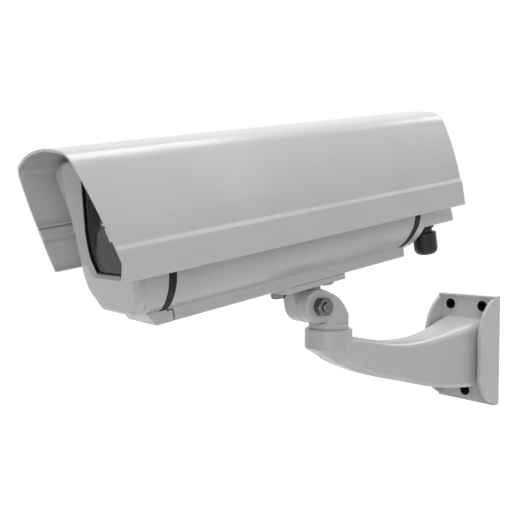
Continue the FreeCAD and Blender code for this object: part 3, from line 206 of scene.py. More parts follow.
class HousingEdges(bpy.types.PropertyGroup):
    """Sizes of the rounded edges."""

    casting_edge: FloatProperty(
        name="Casting edge", description="Edge rounding of the cast pieces",
        unit="LENGTH", min=0.0, max=0.003, default=0.0008)
    sheet_edge: FloatProperty(
        name="Extrusion edge", description="Edge rounding of the extruded pieces",
        unit="LENGTH", min=0.0, max=0.002, default=0.00035)
    screw_edge: FloatProperty(
        name="Screw edge", description="Edge rounding of screws, nuts and washers",
        unit="LENGTH", min=0.0, max=0.001, default=0.00025)
    seal_edge: FloatProperty(
        name="Seal edge", description="Edge rounding of seals, glass, terminals and bare alloy",
        unit="LENGTH", min=0.0, max=0.001, default=0.0003)
    plastic_edge: FloatProperty(
        name="Plastic edge", description="Edge rounding of the glands, spacers and the socket plug",
        unit="LENGTH", min=0.0, max=0.001, default=0.0004)
    board_edge: FloatProperty(
        name="Board edge", description="Edge rounding of the circuit board and its parts",
        unit="LENGTH", min=0.0, max=0.001, default=0.0002)
    smooth_angle: FloatProperty(
        name="Smooth angle", description="Faces that meet at less than this are shaded as one curve",
        subtype="ANGLE", min=0.1, max=1.5, default=math.radians(32))
    edge_steps: IntProperty(
        name="Edge steps", description="Facets across a rounded edge",
        min=1, max=4, default=2)


class HousingDetails(bpy.types.PropertyGroup):
    """Sizes of the small shapes that the scene adds to the solids."""

    crease_step: FloatProperty(
        name="Crease step", description="How far the sunshield's lower side stands out below its crease",
        unit="LENGTH", min=0.0, max=0.0025, default=0.0016)
    crease_height: FloatProperty(
        name="Crease height", description="Height of the rounded step at the crease",
        unit="LENGTH", min=0.001, max=0.01, default=0.0045)
    lip_width: FloatProperty(
        name="Window lip", description="Width of the rubber lip round the window",
        unit="LENGTH", min=0.0005, max=0.004, default=0.0014)
    # The sleeves are black painted shade in the wall plate's holes
    sleeve_wall: FloatProperty(
        name="Sleeve wall", description="Wall of the rubber sleeves in the wall plate's holes",
        unit="LENGTH", min=0.0005, max=0.002, default=0.001)


class HousingStage(bpy.types.PropertyGroup):
    """Floor, lamps and camera."""

    floor_depth: FloatProperty(
        name="Floor depth", description="Floor below the wall plate's middle",
        unit="LENGTH", min=0.3, max=2.0, default=0.62)
    floor_colour: FloatVectorProperty(
        name="Floor colour", description="Colour of the floor under its glow",
        subtype="COLOR", size=3, min=0.0, max=1.0, default=(0.62, 0.62, 0.62))
    sky_strength: FloatProperty(
        name="Sky strength", description="Even light from all around",
        min=0.0, max=3.0, default=0.36)
    top_lamp: FloatProperty(
        name="Top lamp", description="Power of the softbox overhead",
        unit="POWER", min=0.0, max=200.0, default=13.6)
    front_lamp: FloatProperty(
        name="Front lamp", description="Power of the softbox at the window end",
        unit="POWER", min=0.0, max=200.0, default=0.9)
    side_lamp: FloatProperty(
        name="Side lamp", description="Power of the softbox beside the camera",
        unit="POWER", min=0.0, max=200.0, default=6.7)
    strip_lamp: FloatProperty(
        name="Strip lamp", description="Power of the narrow softbox above the camera's side",
        unit="POWER", min=0.0, max=200.0, default=2.0)
    rim_lamp: FloatProperty(
        name="Rim lamp", description="Power of the upright softbox beyond the rear end",
        unit="POWER", min=0.0, max=200.0, default=12.0)
    camera_place: FloatVectorProperty(
        name="Camera place", description="Where the camera stands",
        subtype="TRANSLATION", size=3, default=(0.465484, -0.745722, 0.133118))
    camera_heading: FloatProperty(
        name="Camera heading", description="Turn of the view to the left of +Y",
        subtype="ANGLE", default=math.radians(50.0))
    camera_pitch: FloatProperty(
        name="Camera pitch", description="Tilt of the view below level",
        subtype="ANGLE", default=math.radians(1.5523))
    camera_roll: FloatProperty(
        name="Camera roll", description="Roll of the view",
        subtype="ANGLE", default=math.radians(0.3910))
    lens: FloatProperty(
        name="Lens", description="Focal length on a 36 mm sensor",
        subtype="DISTANCE_CAMERA", min=10.0, max=200.0, default=45.704)


def finish_of():
    return bpy.context.scene.housing_finish


def edges_of():
    return bpy.context.scene.housing_edges


def details_of():
    return bpy.context.scene.housing_details


def stage_of():
    return bpy.context.scene.housing_stage


# Node tree helpers


def tree_of(name):
    """A new material with one Principled shader; returns it with its tree and shader."""
    material = bpy.data.materials.new(name)
    material.use_nodes = True
    tree = material.node_tree
    tree.nodes.clear()
    output = tree.nodes.new("ShaderNodeOutputMaterial")
    shader = tree.nodes.new("ShaderNodeBsdfPrincipled")
    tree.links.new(shader.outputs["BSDF"], output.inputs["Surface"])
    return material, tree, shader


def place_coordinates(tree):
    """Where a point of the piece lies, which moves with the piece."""
    return tree.nodes.new("ShaderNodeTexCoord").outputs["Object"]


def noise(tree, where, size, detail=3.0, roughness=0.5):
    """A noise whose features are about as wide as size, in metres."""
    node = tree.nodes.new("ShaderNodeTexNoise")
    node.inputs["Scale"].default_value = 1.0 / size
    node.inputs["Detail"].default_value = detail
    node.inputs["Roughness"].default_value = roughness
    tree.links.new(where, node.inputs["Vector"])
    return node.outputs["Fac"]


def remap(tree, value, low, high, start=0.0, end=1.0):
    """Stretches a value from low...high to start...end."""
    node = tree.nodes.new("ShaderNodeMapRange")
    node.inputs["From Min"].default_value = low
    node.inputs["From Max"].default_value = high
    node.inputs["To Min"].default_value = start
    node.inputs["To Max"].default_value = end
    tree.links.new(value, node.inputs["Value"])
    return node.outputs["Result"]


def blend_colours(tree, amount, first, second):
    """Mixes two colours, each given as numbers or as a socket."""
    node = tree.nodes.new("ShaderNodeMix")
    node.data_type = "RGBA"
    tree.links.new(amount, node.inputs["Factor"])
    for socket, colour in ((node.inputs["A"], first), (node.inputs["B"], second)):
        if hasattr(colour, "is_output"):
            tree.links.new(colour, socket)
        else:
            socket.default_value = (*colour, 1.0)
    return node.outputs["Result"]


def relief(tree, shader, height, depth, strength, under=None):
    """Bump of that depth in metres, laid over another where one is given."""
    node = tree.nodes.new("ShaderNodeBump")
    node.inputs["Distance"].default_value = depth
    node.inputs["Strength"].default_value = strength
    tree.links.new(height, node.inputs["Height"])
    if under is not None:
        tree.links.new(under, node.inputs["Normal"])
    tree.links.new(node.outputs["Normal"], shader.inputs["Normal"])
    return node.outputs["Normal"]


# Finishes


def powder_coat():
    """Satin powder coat: faint clouding, fine grain and a broader orange peel."""
    s = finish_of()
    material, tree, shader = tree_of("powder coat")
    where = place_coordinates(tree)
    clouds = noise(tree, where, size=0.045, detail=2.0)
    speck = noise(tree, where, size=0.0006, detail=1.0)
    tone = blend_colours(tree, remap(tree, clouds, 0.35, 0.65), s.coat_shade, s.coat)
    fleck = remap(tree, speck, 0.70, 0.80, 0.0, 0.12)
    colour = blend_colours(tree, fleck, tone, tuple(c * 0.78 for c in s.coat))
    tree.links.new(colour, shader.inputs["Base Color"])
    grain = noise(tree, where, size=s.coat_grain, detail=2.0)
    peel = noise(tree, where, size=s.coat_grain * 4.5, detail=1.0)
    satin = remap(tree, grain, 0.3, 0.7, s.coat_roughness - 0.05, s.coat_roughness + 0.06)
    tree.links.new(satin, shader.inputs["Roughness"])
    first = relief(tree, shader, peel, depth=0.00004, strength=0.14)
    relief(tree, shader, grain, depth=0.00002, strength=0.18, under=first)
    return material


def zinc_plate():
    """Zinc on steel, with its colour kept dark as painted shade for the dark surroundings it should
    reflect, with fine drawn scratches and dulled patches.
    """
    s = finish_of()
    material, tree, shader = tree_of("zinc plate")
    where = place_coordinates(tree)
    shader.inputs["Metallic"].default_value = 1.0
    patches = noise(tree, where, size=0.004, detail=3.0)
    # The dark zinc colour is painted shade in the screws' reflections
    colour = blend_colours(
        tree, remap(tree, patches, 0.35, 0.7), s.zinc, tuple(c * 0.78 for c in s.zinc))
    tree.links.new(colour, shader.inputs["Base Color"])
    fine = noise(tree, where, size=0.0005, detail=3.0)
    tree.links.new(remap(tree, fine, 0.3, 0.7, 0.24, 0.42), shader.inputs["Roughness"])
    relief(tree, shader, fine, depth=0.00002, strength=0.5)
    return material


def bare_alloy():
    """Extruded aluminium as it comes off the press, with long draw lines."""
    s = finish_of()
    material, tree, shader = tree_of("bare alloy")
    where = place_coordinates(tree)
    shader.inputs["Metallic"].default_value = 1.0
    stretch = tree.nodes.new("ShaderNodeMapping")
    stretch.inputs["Scale"].default_value = (1.0, 0.02, 1.0)
    tree.links.new(where, stretch.inputs["Vector"])
    lines = noise(tree, stretch.outputs["Vector"], size=0.0006, detail=2.0)
    colour = blend_colours(
        tree, remap(tree, lines, 0.3, 0.7), s.alloy, tuple(c * 0.86 for c in s.alloy))
    tree.links.new(colour, shader.inputs["Base Color"])
    tree.links.new(remap(tree, lines, 0.3, 0.7, 0.34, 0.50), shader.inputs["Roughness"])
    relief(tree, shader, lines, depth=0.00002, strength=0.4)
    return material


def black_rubber():
    """Moulded rubber with a dusty bloom."""
    s = finish_of()
    material, tree, shader = tree_of("black rubber")
    where = place_coordinates(tree)
    bloom = noise(tree, where, size=0.006, detail=4.0, roughness=0.6)
    colour = blend_colours(
        tree, remap(tree, bloom, 0.45, 0.75, 0.0, 0.6), s.rubber, tuple(c * 2.2 for c in s.rubber))
    tree.links.new(colour, shader.inputs["Base Color"])
    fine = noise(tree, where, size=0.0005, detail=3.0)
    tree.links.new(remap(tree, bloom, 0.3, 0.7, 0.55, 0.75), shader.inputs["Roughness"])
    shader.inputs["Specular IOR Level"].default_value = 0.22
    relief(tree, shader, fine, depth=0.00005, strength=0.5)
    return material


def black_plastic():
    """Moulded polyamide with a fine spark eroded texture."""
    s = finish_of()
    material, tree, shader = tree_of("black plastic")
    where = place_coordinates(tree)
    fine = noise(tree, where, size=0.0004, detail=2.0)
    broad = noise(tree, where, size=0.008, detail=2.0)
    colour = blend_colours(
        tree, remap(tree, broad, 0.35, 0.7), s.plastic, tuple(c * 1.6 for c in s.plastic))
    tree.links.new(colour, shader.inputs["Base Color"])
    tree.links.new(remap(tree, broad, 0.3, 0.7, 0.34, 0.46), shader.inputs["Roughness"])
    shader.inputs["Specular IOR Level"].default_value = 0.30
    relief(tree, shader, fine, depth=0.00004, strength=0.5)
    return material


def window_pane():
    """Glass that reflects little, with traces of wiping; its dark tint is painted shade that darkens the
    view into the housing.
    """
    s = finish_of()
    material, tree, shader = tree_of("window glass")
    where = place_coordinates(tree)
    # The dark tint is painted shade: it darkens what is seen through the glass, where the real glass is
    # clear
    shader.inputs["Base Color"].default_value = (*s.window_shade_tint, 1.0)
    shader.inputs["Transmission Weight"].default_value = 1.0
    shader.inputs["IOR"].default_value = 1.15
    shader.inputs["Specular IOR Level"].default_value = 0.15
    wiped = noise(tree, where, size=0.02, detail=3.0)
    tree.links.new(remap(tree, wiped, 0.4, 0.8, 0.01, 0.05), shader.inputs["Roughness"])
    return material


def board_lacquer():
    """Green solder resist over copper tracks."""
    s = finish_of()
    material, tree, shader = tree_of("board lacquer")
    where = place_coordinates(tree)
    tracks = tree.nodes.new("ShaderNodeTexBrick")
    tracks.inputs["Scale"].default_value = 260.0
    tracks.inputs["Mortar Size"].default_value = 0.035
    tracks.inputs["Color1"].default_value = (*s.board, 1.0)
    tracks.inputs["Color2"].default_value = (*(c * 0.8 for c in s.board), 1.0)
    tracks.inputs["Mortar"].default_value = (*(min(1.0, c * 2.4) for c in s.board), 1.0)
    tree.links.new(where, tracks.inputs["Vector"])
    tree.links.new(tracks.outputs["Color"], shader.inputs["Base Color"])
    fine = noise(tree, where, size=0.002, detail=3.0)
    tree.links.new(remap(tree, fine, 0.3, 0.7, 0.22, 0.36), shader.inputs["Roughness"])
    relief(tree, shader, tracks.outputs["Fac"], depth=0.00003, strength=0.6)
    return material


def moulded_green():
    """Green moulded plastic of the terminal block."""
    s = finish_of()
    material, tree, shader = tree_of("moulded green")
    where = place_coordinates(tree)
    broad = noise(tree, where, size=0.004, detail=2.0)
    colour = blend_colours(
        tree, remap(tree, broad, 0.3, 0.7), s.terminal, tuple(c * 0.8 for c in s.terminal))
    tree.links.new(colour, shader.inputs["Base Color"])
    fine = noise(tree, where, size=0.0004, detail=2.0)
    tree.links.new(remap(tree, fine, 0.3, 0.7, 0.38, 0.52), shader.inputs["Roughness"])
    relief(tree, shader, fine, depth=0.00003, strength=0.5)
    return material


def turned_brass():
    """Turned brass pillars."""
    s = finish_of()
    material, tree, shader = tree_of("turned brass")
    where = place_coordinates(tree)
    shader.inputs["Metallic"].default_value = 1.0
    fine = noise(tree, where, size=0.0006, detail=3.0)
    colour = blend_colours(
        tree, remap(tree, fine, 0.3, 0.7), s.brass, tuple(c * 0.82 for c in s.brass))
    tree.links.new(colour, shader.inputs["Base Color"])
    tree.links.new(remap(tree, fine, 0.3, 0.7, 0.22, 0.38), shader.inputs["Roughness"])
    relief(tree, shader, fine, depth=0.00002, strength=0.5)
    return material


FINISHES = {
    "paint": powder_coat,
    "steel": zinc_plate,
    "alloy": bare_alloy,
    "seal": black_rubber,
    "black_plastic": black_plastic,
    "glass": window_pane,
    "board": board_lacquer,
    "terminal": moulded_green,
    "brass": turned_brass,
}
made_finishes = {}


def finish(slot):
    """The material of one of the record's slots, made once."""
    if slot not in made_finishes:
        made_finishes[slot] = FINISHES[slot]()
    return made_finishes[slot]


def give(piece, slot):
    """Puts a finish on every face of a piece."""
    piece.data.materials.clear()
    piece.data.materials.append(finish(slot))


# Mesh helpers


def link_mesh(name, bm):
    """An object at the origin from a bmesh, which is freed."""
    if not bm.faces:
        raise RuntimeError(name + " has no faces")
    mesh = bpy.data.meshes.new(name)
    bm.to_mesh(mesh)
    bm.free()
    piece = bpy.data.objects.new(name, mesh)
    bpy.context.scene.collection.objects.link(piece)
    return piece


def joined_mesh(node):
    """A CAD node's triangles joined up, flat regions made single faces."""
    mesh = frame["nodes"][node].data.copy()
    for spare in ("custom_normal", "sharp_edge", "sharp_face"):
        if spare in mesh.attributes:
            mesh.attributes.remove(mesh.attributes[spare])
    bm = bmesh.new()
    bm.from_mesh(mesh)
    bpy.data.meshes.remove(mesh)
    bmesh.ops.remove_doubles(bm, verts=bm.verts, dist=2e-6)
    bmesh.ops.dissolve_limit(
        bm, angle_limit=math.radians(0.6), verts=bm.verts, edges=bm.edges,
        use_dissolve_boundaries=False, delimit=set())
    return bm


def shade(bm, angle):
    """Smooth faces, with edges over the angle kept crisp."""
    for face in bm.faces:
        face.smooth = True
    for edge in bm.edges:
        two = len(edge.link_faces) == 2
        edge.smooth = two and edge.calc_face_angle(0.0) < angle


def round_edges(piece, width):
    """Rounds the crisp edges of a piece."""
    e = edges_of()
    bevel = piece.modifiers.new("edges", "BEVEL")
    bevel.width = width
    bevel.segments = e.edge_steps
    bevel.limit_method = "ANGLE"
    bevel.angle_limit = e.smooth_angle
    bevel.use_clamp_overlap = True


def even_normals(piece):
    """Lets the broad faces decide the shading, so that flats look flat beside their rounded edges."""
    normals = piece.modifiers.new("normals", "WEIGHTED_NORMAL")
    normals.keep_sharp = True
    normals.weight = 50


def body_of(node):
    """The body that a CAD node rides on."""
    return frame["nodes"][node]["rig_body"]


def turned(outline, centre, axis, steps=32):
    """A closed outline of (radius, height) points spun once round an axis."""
    bm = bmesh.new()
    centre, axis = Vector(centre), Vector(axis).normalized()
    side = axis.orthogonal().normalized()
    verts = [bm.verts.new(centre + side * r + axis * h) for r, h in outline]
    edges = [bm.edges.new((verts[i - 1], verts[i])) for i in range(len(verts))]
    bmesh.ops.spin(
        bm, geom=verts + edges, cent=centre, axis=axis, angle=math.tau, steps=steps,
        use_merge=True, use_duplicate=False)
    bmesh.ops.remove_doubles(bm, verts=bm.verts, dist=1e-6)
    bmesh.ops.recalc_face_normals(bm, faces=bm.faces)
    return bm


def merge_into(bm, other):
    """Adds another bmesh to this one and frees it."""
    spare = bpy.data.meshes.new("spare")
    other.to_mesh(spare)
    other.free()
    bm.from_mesh(spare)
    bpy.data.meshes.remove(spare)


def added(name, bm, slot, body, width=0.0):
    """A new piece from a bmesh, finished and riding on a body."""
    shade(bm, edges_of().smooth_angle)
    piece = link_mesh(name, bm)
    if width > 0.0:
        round_edges(piece, width)
    even_normals(piece)
    give(piece, slot)
    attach(piece, body)


def dressed(node, slot, width, shape=None):
    """A joined copy of a node with rounded edges and its finish, shown in the node's place."""
    bm = joined_mesh(node)
    if shape is not None:
        shape(bm)
    shade(bm, edges_of().smooth_angle)
    piece = link_mesh(node + "_dressed", bm)
    if width > 0.0:
        round_edges(piece, width)
    even_normals(piece)
    give(piece, slot)
    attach(piece, body_of(node))
    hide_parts(node)


# Shapes that the scene draws finer than the solids


def crease_line(z, top, foot, step):
    """Half width of the sunshield's outer side near the crease, at a height over it."""
    plain = SHIELD_HALF - SHIELD_LEAN * z
    share = max(0.0, min(1.0, (top - z) / (top - foot)))
    ease = share * share * (3.0 - 2.0 * share)
    return plain + (step + SHIELD_LEAN * foot) * ease


def step_the_crease(bm):
    """Turns the sunshield's crease into a small rounded step with its lower side standing out."""
    d = details_of()
    top = d.crease_height * CREASE_ABOVE
    foot = top - d.crease_height
    bmesh.ops.transform(bm, matrix=FROM_HOUSING, verts=bm.verts)
    for i in range(CREASE_LEVELS + 1):
        z = foot + (top - foot) * i / CREASE_LEVELS
        bmesh.ops.bisect_plane(
            bm, geom=bm.verts[:] + bm.edges[:] + bm.faces[:], dist=1e-7,
            plane_co=(0.0, 0.0, z), plane_no=(0.0, 0.0, 1.0))
    for v in bm.verts:
        if abs(v.co.x) > SHIELD_OUTSIDE and foot - TOUCH < v.co.z < top + TOUCH:
            v.co.x = math.copysign(crease_line(v.co.z, top, foot, d.crease_step), v.co.x)
    bmesh.ops.transform(bm, matrix=HOUSING, verts=bm.verts)


def face_depth(p):
    """How far a point lies behind the sloping face of the front frame."""
    return p.y - (FACE_FRONT - FACE_LEAN * p.z)


def nearest_on(p, edges):
    """The point nearest to p on a list of straight edges."""
    best = None
    for a, b in edges:
        span = b - a
        t = max(0.0, min(1.0, (p - a).dot(span) / max(span.length_squared, 1e-12)))
        q = a + span * t
        if best is None or (p - q).length < (p - best).length:
            best = q
    return best


def close_front_seam(bm):
    """Runs the front frame's rim back to its rear part and meets that part's outline."""
    bmesh.ops.transform(bm, matrix=FROM_HOUSING, verts=bm.verts)
    low = [v for v in bm.verts if v.co.z < SEAM_TOP]
    ends = [
        v for v in low
        if abs(v.co.y - LAYER_END) < 3e-5 and face_depth(v.co) < FRAME_LEDGE - 2e-5
    ]
    outline = {
        v for v in low
        if abs(face_depth(v.co) - FRAME_LEDGE) < 4e-5
        and any(face_depth(e.other_vert(v).co) > FRAME_LEDGE + 3e-4 for e in v.link_edges)
    }
    rim = [
        tuple(v.co.copy() for v in e.verts) for e in bm.edges
        if e.verts[0] in outline and e.verts[1] in outline
    ]
    for v in ends:
        v.co.y = FACE_FRONT - FACE_LEAN * v.co.z + FRAME_LEDGE + SEAM_LAP
        q = nearest_on(v.co, rim)
        stands_out = math.hypot(v.co.x, v.co.z) > math.hypot(q.x, q.z)
        if stands_out and (q - v.co).length < SEAM_REACH and v.co.z < MEETING_TOP:
            v.co.x = q.x * MEETING_GROWTH
            v.co.z = q.z * MEETING_GROWTH
    bmesh.ops.transform(bm, matrix=HOUSING, verts=bm.verts)


def window_ring(half, front, width, depth):
    """Ring that follows the window: half its corners, front edge, width and depth."""
    bm = bmesh.new()
    corners = list(half) + [(-x, z, radius) for x, z, radius in reversed(half)]
    verts = [bm.verts.new((x, front, z)) for x, z, radius in corners]
    bm.faces.new(verts)
    for i, vert in enumerate(verts):
        x, z, radius = corners[i]
        to_last = Vector(corners[i - 1][:2]) - Vector((x, z))
        to_next = Vector(corners[(i + 1) % len(corners)][:2]) - Vector((x, z))
        cut = radius / math.tan(to_last.angle(to_next) / 2)
        bmesh.ops.bevel(
            bm, geom=[vert], offset=cut, offset_type="OFFSET", affect="VERTICES",
            segments=8, profile=0.5, material=-1)
    bmesh.ops.inset_region(
        bm, faces=bm.faces, thickness=width, use_even_offset=True, use_boundary=True)
    middle = min(bm.faces, key=lambda f: (len(f.verts) < 20, f.calc_center_median().length))
    bmesh.ops.delete(bm, geom=[middle], context="FACES_ONLY")
    grown = bmesh.ops.extrude_face_region(bm, geom=list(bm.faces))
    moved = [g for g in grown["geom"] if isinstance(g, bmesh.types.BMVert)]
    bmesh.ops.translate(bm, verts=moved, vec=(0.0, depth, 0.0))
    bmesh.ops.recalc_face_normals(bm, faces=bm.faces)
    bmesh.ops.transform(bm, matrix=HOUSING, verts=bm.verts)
    return bm


def block(bm, size, middle):
    """Adds one block to a mesh: its size and its middle."""
    made = bmesh.ops.create_cube(bm, size=1.0)
    bmesh.ops.scale(bm, vec=size, verts=made["verts"])
    bmesh.ops.translate(bm, vec=middle, verts=made["verts"])


def board_parts():
    """Relay, transformer, chip, two capacitor cans and small parts soldered to the board."""
    bm = bmesh.new()
    for size, (x, y, lift) in BOARD_BLOCKS:
        block(bm, size, (x, y, BOARD_TOP + lift))
    small_lift = BOARD_TOP + 0.0004
    for step in range(5):
        block(bm, (0.0016, 0.0032, 0.0008), (-0.0100 + 0.0032 * step, 0.2440, small_lift))
        block(bm, (0.0024, 0.0014, 0.0007), (0.0100, 0.2470 + 0.0028 * step, small_lift))
    can_outline = (
        (0.0, 0.0), (0.0038, 0.0), (0.0038, 0.0006), (0.0035, 0.0009), (0.0038, 0.0012),
        (0.0038, 0.0086), (0.0034, 0.0090), (0.0030, 0.0088), (0.0, 0.0088))
    for x in (-0.0170, 0.0190):
        merge_into(bm, turned(can_outline, (x, 0.2540, BOARD_TOP), (0.0, 0.0, 1.0), 28))
    bmesh.ops.transform(bm, matrix=HOUSING, verts=bm.verts)
    return bm


def chip_legs():
    """Legs of the chip and the tinned joints of the terminal block."""
    bm = bmesh.new()
    first_leg, leg_pitch = 0.2492, 0.00127
    for side in (-1.0, 1.0):
        for step in range(7):
            place = first_leg + leg_pitch * step
            block(bm, (0.0012, 0.0005, 0.0003), (side * 0.0042, place, -0.0516))
            block(bm, (0.0004, 0.0005, 0.0011), (side * 0.0048, place, -0.0520))
    solder = ((0.0, 0.0), (0.0011, 0.0), (0.0008, 0.0004), (0.0004, 0.0009), (0.0, 0.0010))
    first_joint, joint_pitch = -0.0175, 0.0070
    for step in range(6):
        place = (first_joint + joint_pitch * step, 0.2660, BOARD_TOP)
        merge_into(bm, turned(solder, place, (0.0, 0.0, 1.0), 16))
    bmesh.ops.transform(bm, matrix=HOUSING, verts=bm.verts)
    return bm


def camera_thread():
    """Thread ridge of the camera screw, a quarter inch with twenty turns to the inch."""
    bm = bmesh.new()
    core, crest, pitch = 0.00312, 0.00345, 0.00127
    turns, facets = 5.5, 24
    _, middle, foot = CAMERA_SCREW
    profile = [
        bm.verts.new((core, middle, foot)),
        bm.verts.new((crest, middle, foot + pitch * 0.42)),
        bm.verts.new((core, middle, foot + pitch * 0.84)),
    ]
    edges = [bm.edges.new((profile[i - 1], profile[i])) for i in range(3)]
    bmesh.ops.spin(
        bm, geom=profile + edges, cent=(0.0, middle, 0.0), axis=(0.0, 0.0, 1.0),
        dvec=(0.0, 0.0, pitch / facets), angle=math.tau * turns, steps=int(facets * turns),
        use_duplicate=False)
    bmesh.ops.holes_fill(bm, edges=[e for e in bm.edges if e.is_boundary], sides=0)
    bmesh.ops.recalc_face_normals(bm, faces=bm.faces)
    bmesh.ops.transform(bm, matrix=HOUSING, verts=bm.verts)
    return bm


def hole_sleeves():
    """Black rubber sleeves in the wall plate's holes, each with a thin skin that its screw goes through;
    their black is painted shade for the deep holes.
    """
    wall = details_of().sleeve_wall
    fit, flange = 0.00597, 0.0067
    bore = fit - wall
    outline = (
        (0.0, 0.0004), (fit, 0.0004), (fit, 0.01175), (flange, 0.01175), (flange, 0.0122),
        (flange - 0.0004, 0.0125), (bore + 0.0003, 0.0125), (bore, 0.0122), (bore, 0.0026),
        (bore - 0.001, 0.0014), (0.0, 0.0014))
    bm = bmesh.new()
    for x, z in PLATE_HOLES:
        merge_into(bm, turned(outline, (x, 0.0, z), (0.0, -1.0, 0.0), 40))
    return bm


def socket_plug():
    """Plug in the socket's underside, cut to the slope of the keel."""
    bm = bmesh.new()
    radius, length, middle, keel_height = 0.00865, 0.024, 0.0095, 0.0119
    bmesh.ops.create_cone(
        bm, cap_ends=True, segments=48, radius1=radius, radius2=radius, depth=length)
    bmesh.ops.translate(bm, verts=bm.verts, vec=(PAN_AXIS.x, PAN_AXIS.y, middle))
    slope = Vector((0.0, 0.55, 1.0)).normalized()
    cut = bmesh.ops.bisect_plane(
        bm, geom=bm.verts[:] + bm.edges[:] + bm.faces[:], dist=1e-7,
        plane_co=(PAN_AXIS.x, PAN_AXIS.y, keel_height), plane_no=slope, clear_inner=True)
    rim = [g for g in cut["geom_cut"] if isinstance(g, bmesh.types.BMEdge)]
    bmesh.ops.holes_fill(bm, edges=rim, sides=0)
    bmesh.ops.recalc_face_normals(bm, faces=bm.faces)
    return bm


# Operators, one for each piece or group of like pieces


class HOUSING_OT_castings(bpy.types.Operator):
    """Coats the castings and the socket's plug, and closes the front frame's seam."""

    bl_idname = "housing.castings"
    bl_label = "Coat the castings"

    def execute(self, context):
        width = edges_of().casting_edge
        for node in ("wall_bracket", "swivel_head", "adaptor_knuckle", "rear_cover"):
            dressed(node, "paint", width)
        dressed("front_frame", "paint", width, shape=close_front_seam)
        added("socket_plug", socket_plug(), "paint", "bracket", edges_of().plastic_edge)
        return {"FINISHED"}


class HOUSING_OT_extrusions(bpy.types.Operator):
    """Coats the extruded pieces and draws the sunshield's crease as a step."""

    bl_idname = "housing.extrusions"
    bl_label = "Coat the extrusions"

    def execute(self, context):
        width = edges_of().sheet_edge
        for node in ("lower_body", "upper_cover"):
            dressed(node, "paint", width)
        dressed("sunshield", "paint", width, shape=step_the_crease)
        return {"FINISHED"}


class HOUSING_OT_screws(bpy.types.Operator):
    """Plates the screws, nuts, washers, pins and clips."""

    bl_idname = "housing.screws"
    bl_label = "Plate the screws"

    def execute(self, context):
        width = edges_of().screw_edge
        for node in (
            "swivel_bolt", "swivel_washer", "tilt_bolt", "tilt_washers", "tilt_nut",
            "adaptor_bolts", "adaptor_washers", "rail_nuts", "hinge_pins", "closing_screws",
            "retainer_clips", "frame_screws", "rear_screws", "shield_screws", "camera_screw",
        ):
            dressed(node, "steel", width)
        return {"FINISHED"}


class HOUSING_OT_seals(bpy.types.Operator):
    """Gives the seals their rubber and adds the window's lip, the black liner behind the window and the
    black hole sleeves, the last two being painted shade.
    """

    bl_idname = "housing.seals"
    bl_label = "Fit the seals"

    def execute(self, context):
        width = edges_of().seal_edge
        for node in ("front_gasket", "rear_gasket", "cover_seals", "window_seal", "gland_seals"):
            dressed(node, "seal", width)
        lip = window_ring(WINDOW_CORNERS, LIP_FRONT, details_of().lip_width, LIP_DEPTH)
        added("window_lip", lip, "seal", "housing", width)
        # The black liner is painted shade: a dark ring that stands in for the shade inside the housing
        liner = window_ring(LINER_CORNERS, LINER_FRONT, LINER_WALL, LINER_DEPTH)
        added("window_liner", liner, "seal", "housing", width)
        # The black sleeves are painted shade: they darken the holes, which only their depth would shade
        added("hole_sleeves", hole_sleeves(), "seal", "bracket")
        return {"FINISHED"}


class HOUSING_OT_glands(bpy.types.Operator):
    """Makes the cable glands and the shield's spacers of black plastic."""

    bl_idname = "housing.glands"
    bl_label = "Fit the glands"

    def execute(self, context):
        for node in ("gland_bodies", "gland_caps", "gland_locknuts", "shield_spacers"):
            dressed(node, "black_plastic", edges_of().plastic_edge)
        return {"FINISHED"}


class HOUSING_OT_window(bpy.types.Operator):
    """Sets the window glass and its retainer."""

    bl_idname = "housing.window"
    bl_label = "Set the window"

    def execute(self, context):
        width = edges_of().seal_edge
        dressed("window_glass", "glass", width)
        dressed("window_retainer", "alloy", width)
        return {"FINISHED"}


class HOUSING_OT_inside(bpy.types.Operator):
    """Fits out the inside: tray, heater, board with its parts, terminals and screw thread."""

    bl_idname = "housing.inside"
    bl_label = "Fit out the inside"

    def execute(self, context):
        e = edges_of()
        dressed("camera_tray", "alloy", e.seal_edge)
        dressed("heater", "alloy", e.seal_edge)
        dressed("board_standoffs", "brass", e.board_edge)
        dressed("circuit_board", "board", e.board_edge)
        dressed("terminal_block", "terminal", e.seal_edge)
        added("board_parts", board_parts(), "black_plastic", "housing", e.board_edge)
        added("chip_legs", chip_legs(), "steel", "housing")
        added("camera_thread", camera_thread(), "steel", "tray")
        return {"FINISHED"}


def floor_material():
    """Pale floor: plain to the lamps, near white to the camera, shadows kept."""
    material, tree, shader = tree_of("pale floor")
    s = stage_of()
    tree.nodes.remove(shader)
    output = next(n for n in tree.nodes if n.type == "OUTPUT_MATERIAL")
    plain = tree.nodes.new("ShaderNodeBsdfDiffuse")
    plain.inputs["Color"].default_value = (*s.floor_colour, 1.0)
    glow = tree.nodes.new("ShaderNodeEmission")
    glow.inputs["Color"].default_value = (1.0, 1.0, 1.0, 1.0)
    glow.inputs["Strength"].default_value = FLOOR_GLOW
    both = tree.nodes.new("ShaderNodeAddShader")
    tree.links.new(plain.outputs["BSDF"], both.inputs[0])
    tree.links.new(glow.outputs["Emission"], both.inputs[1])
    mix = tree.nodes.new("ShaderNodeMixShader")
    tree.links.new(seen_rays(tree), mix.inputs["Fac"])
    tree.links.new(plain.outputs["BSDF"], mix.inputs[1])
    tree.links.new(both.outputs["Shader"], mix.inputs[2])
    tree.links.new(mix.outputs["Shader"], output.inputs["Surface"])
    return material


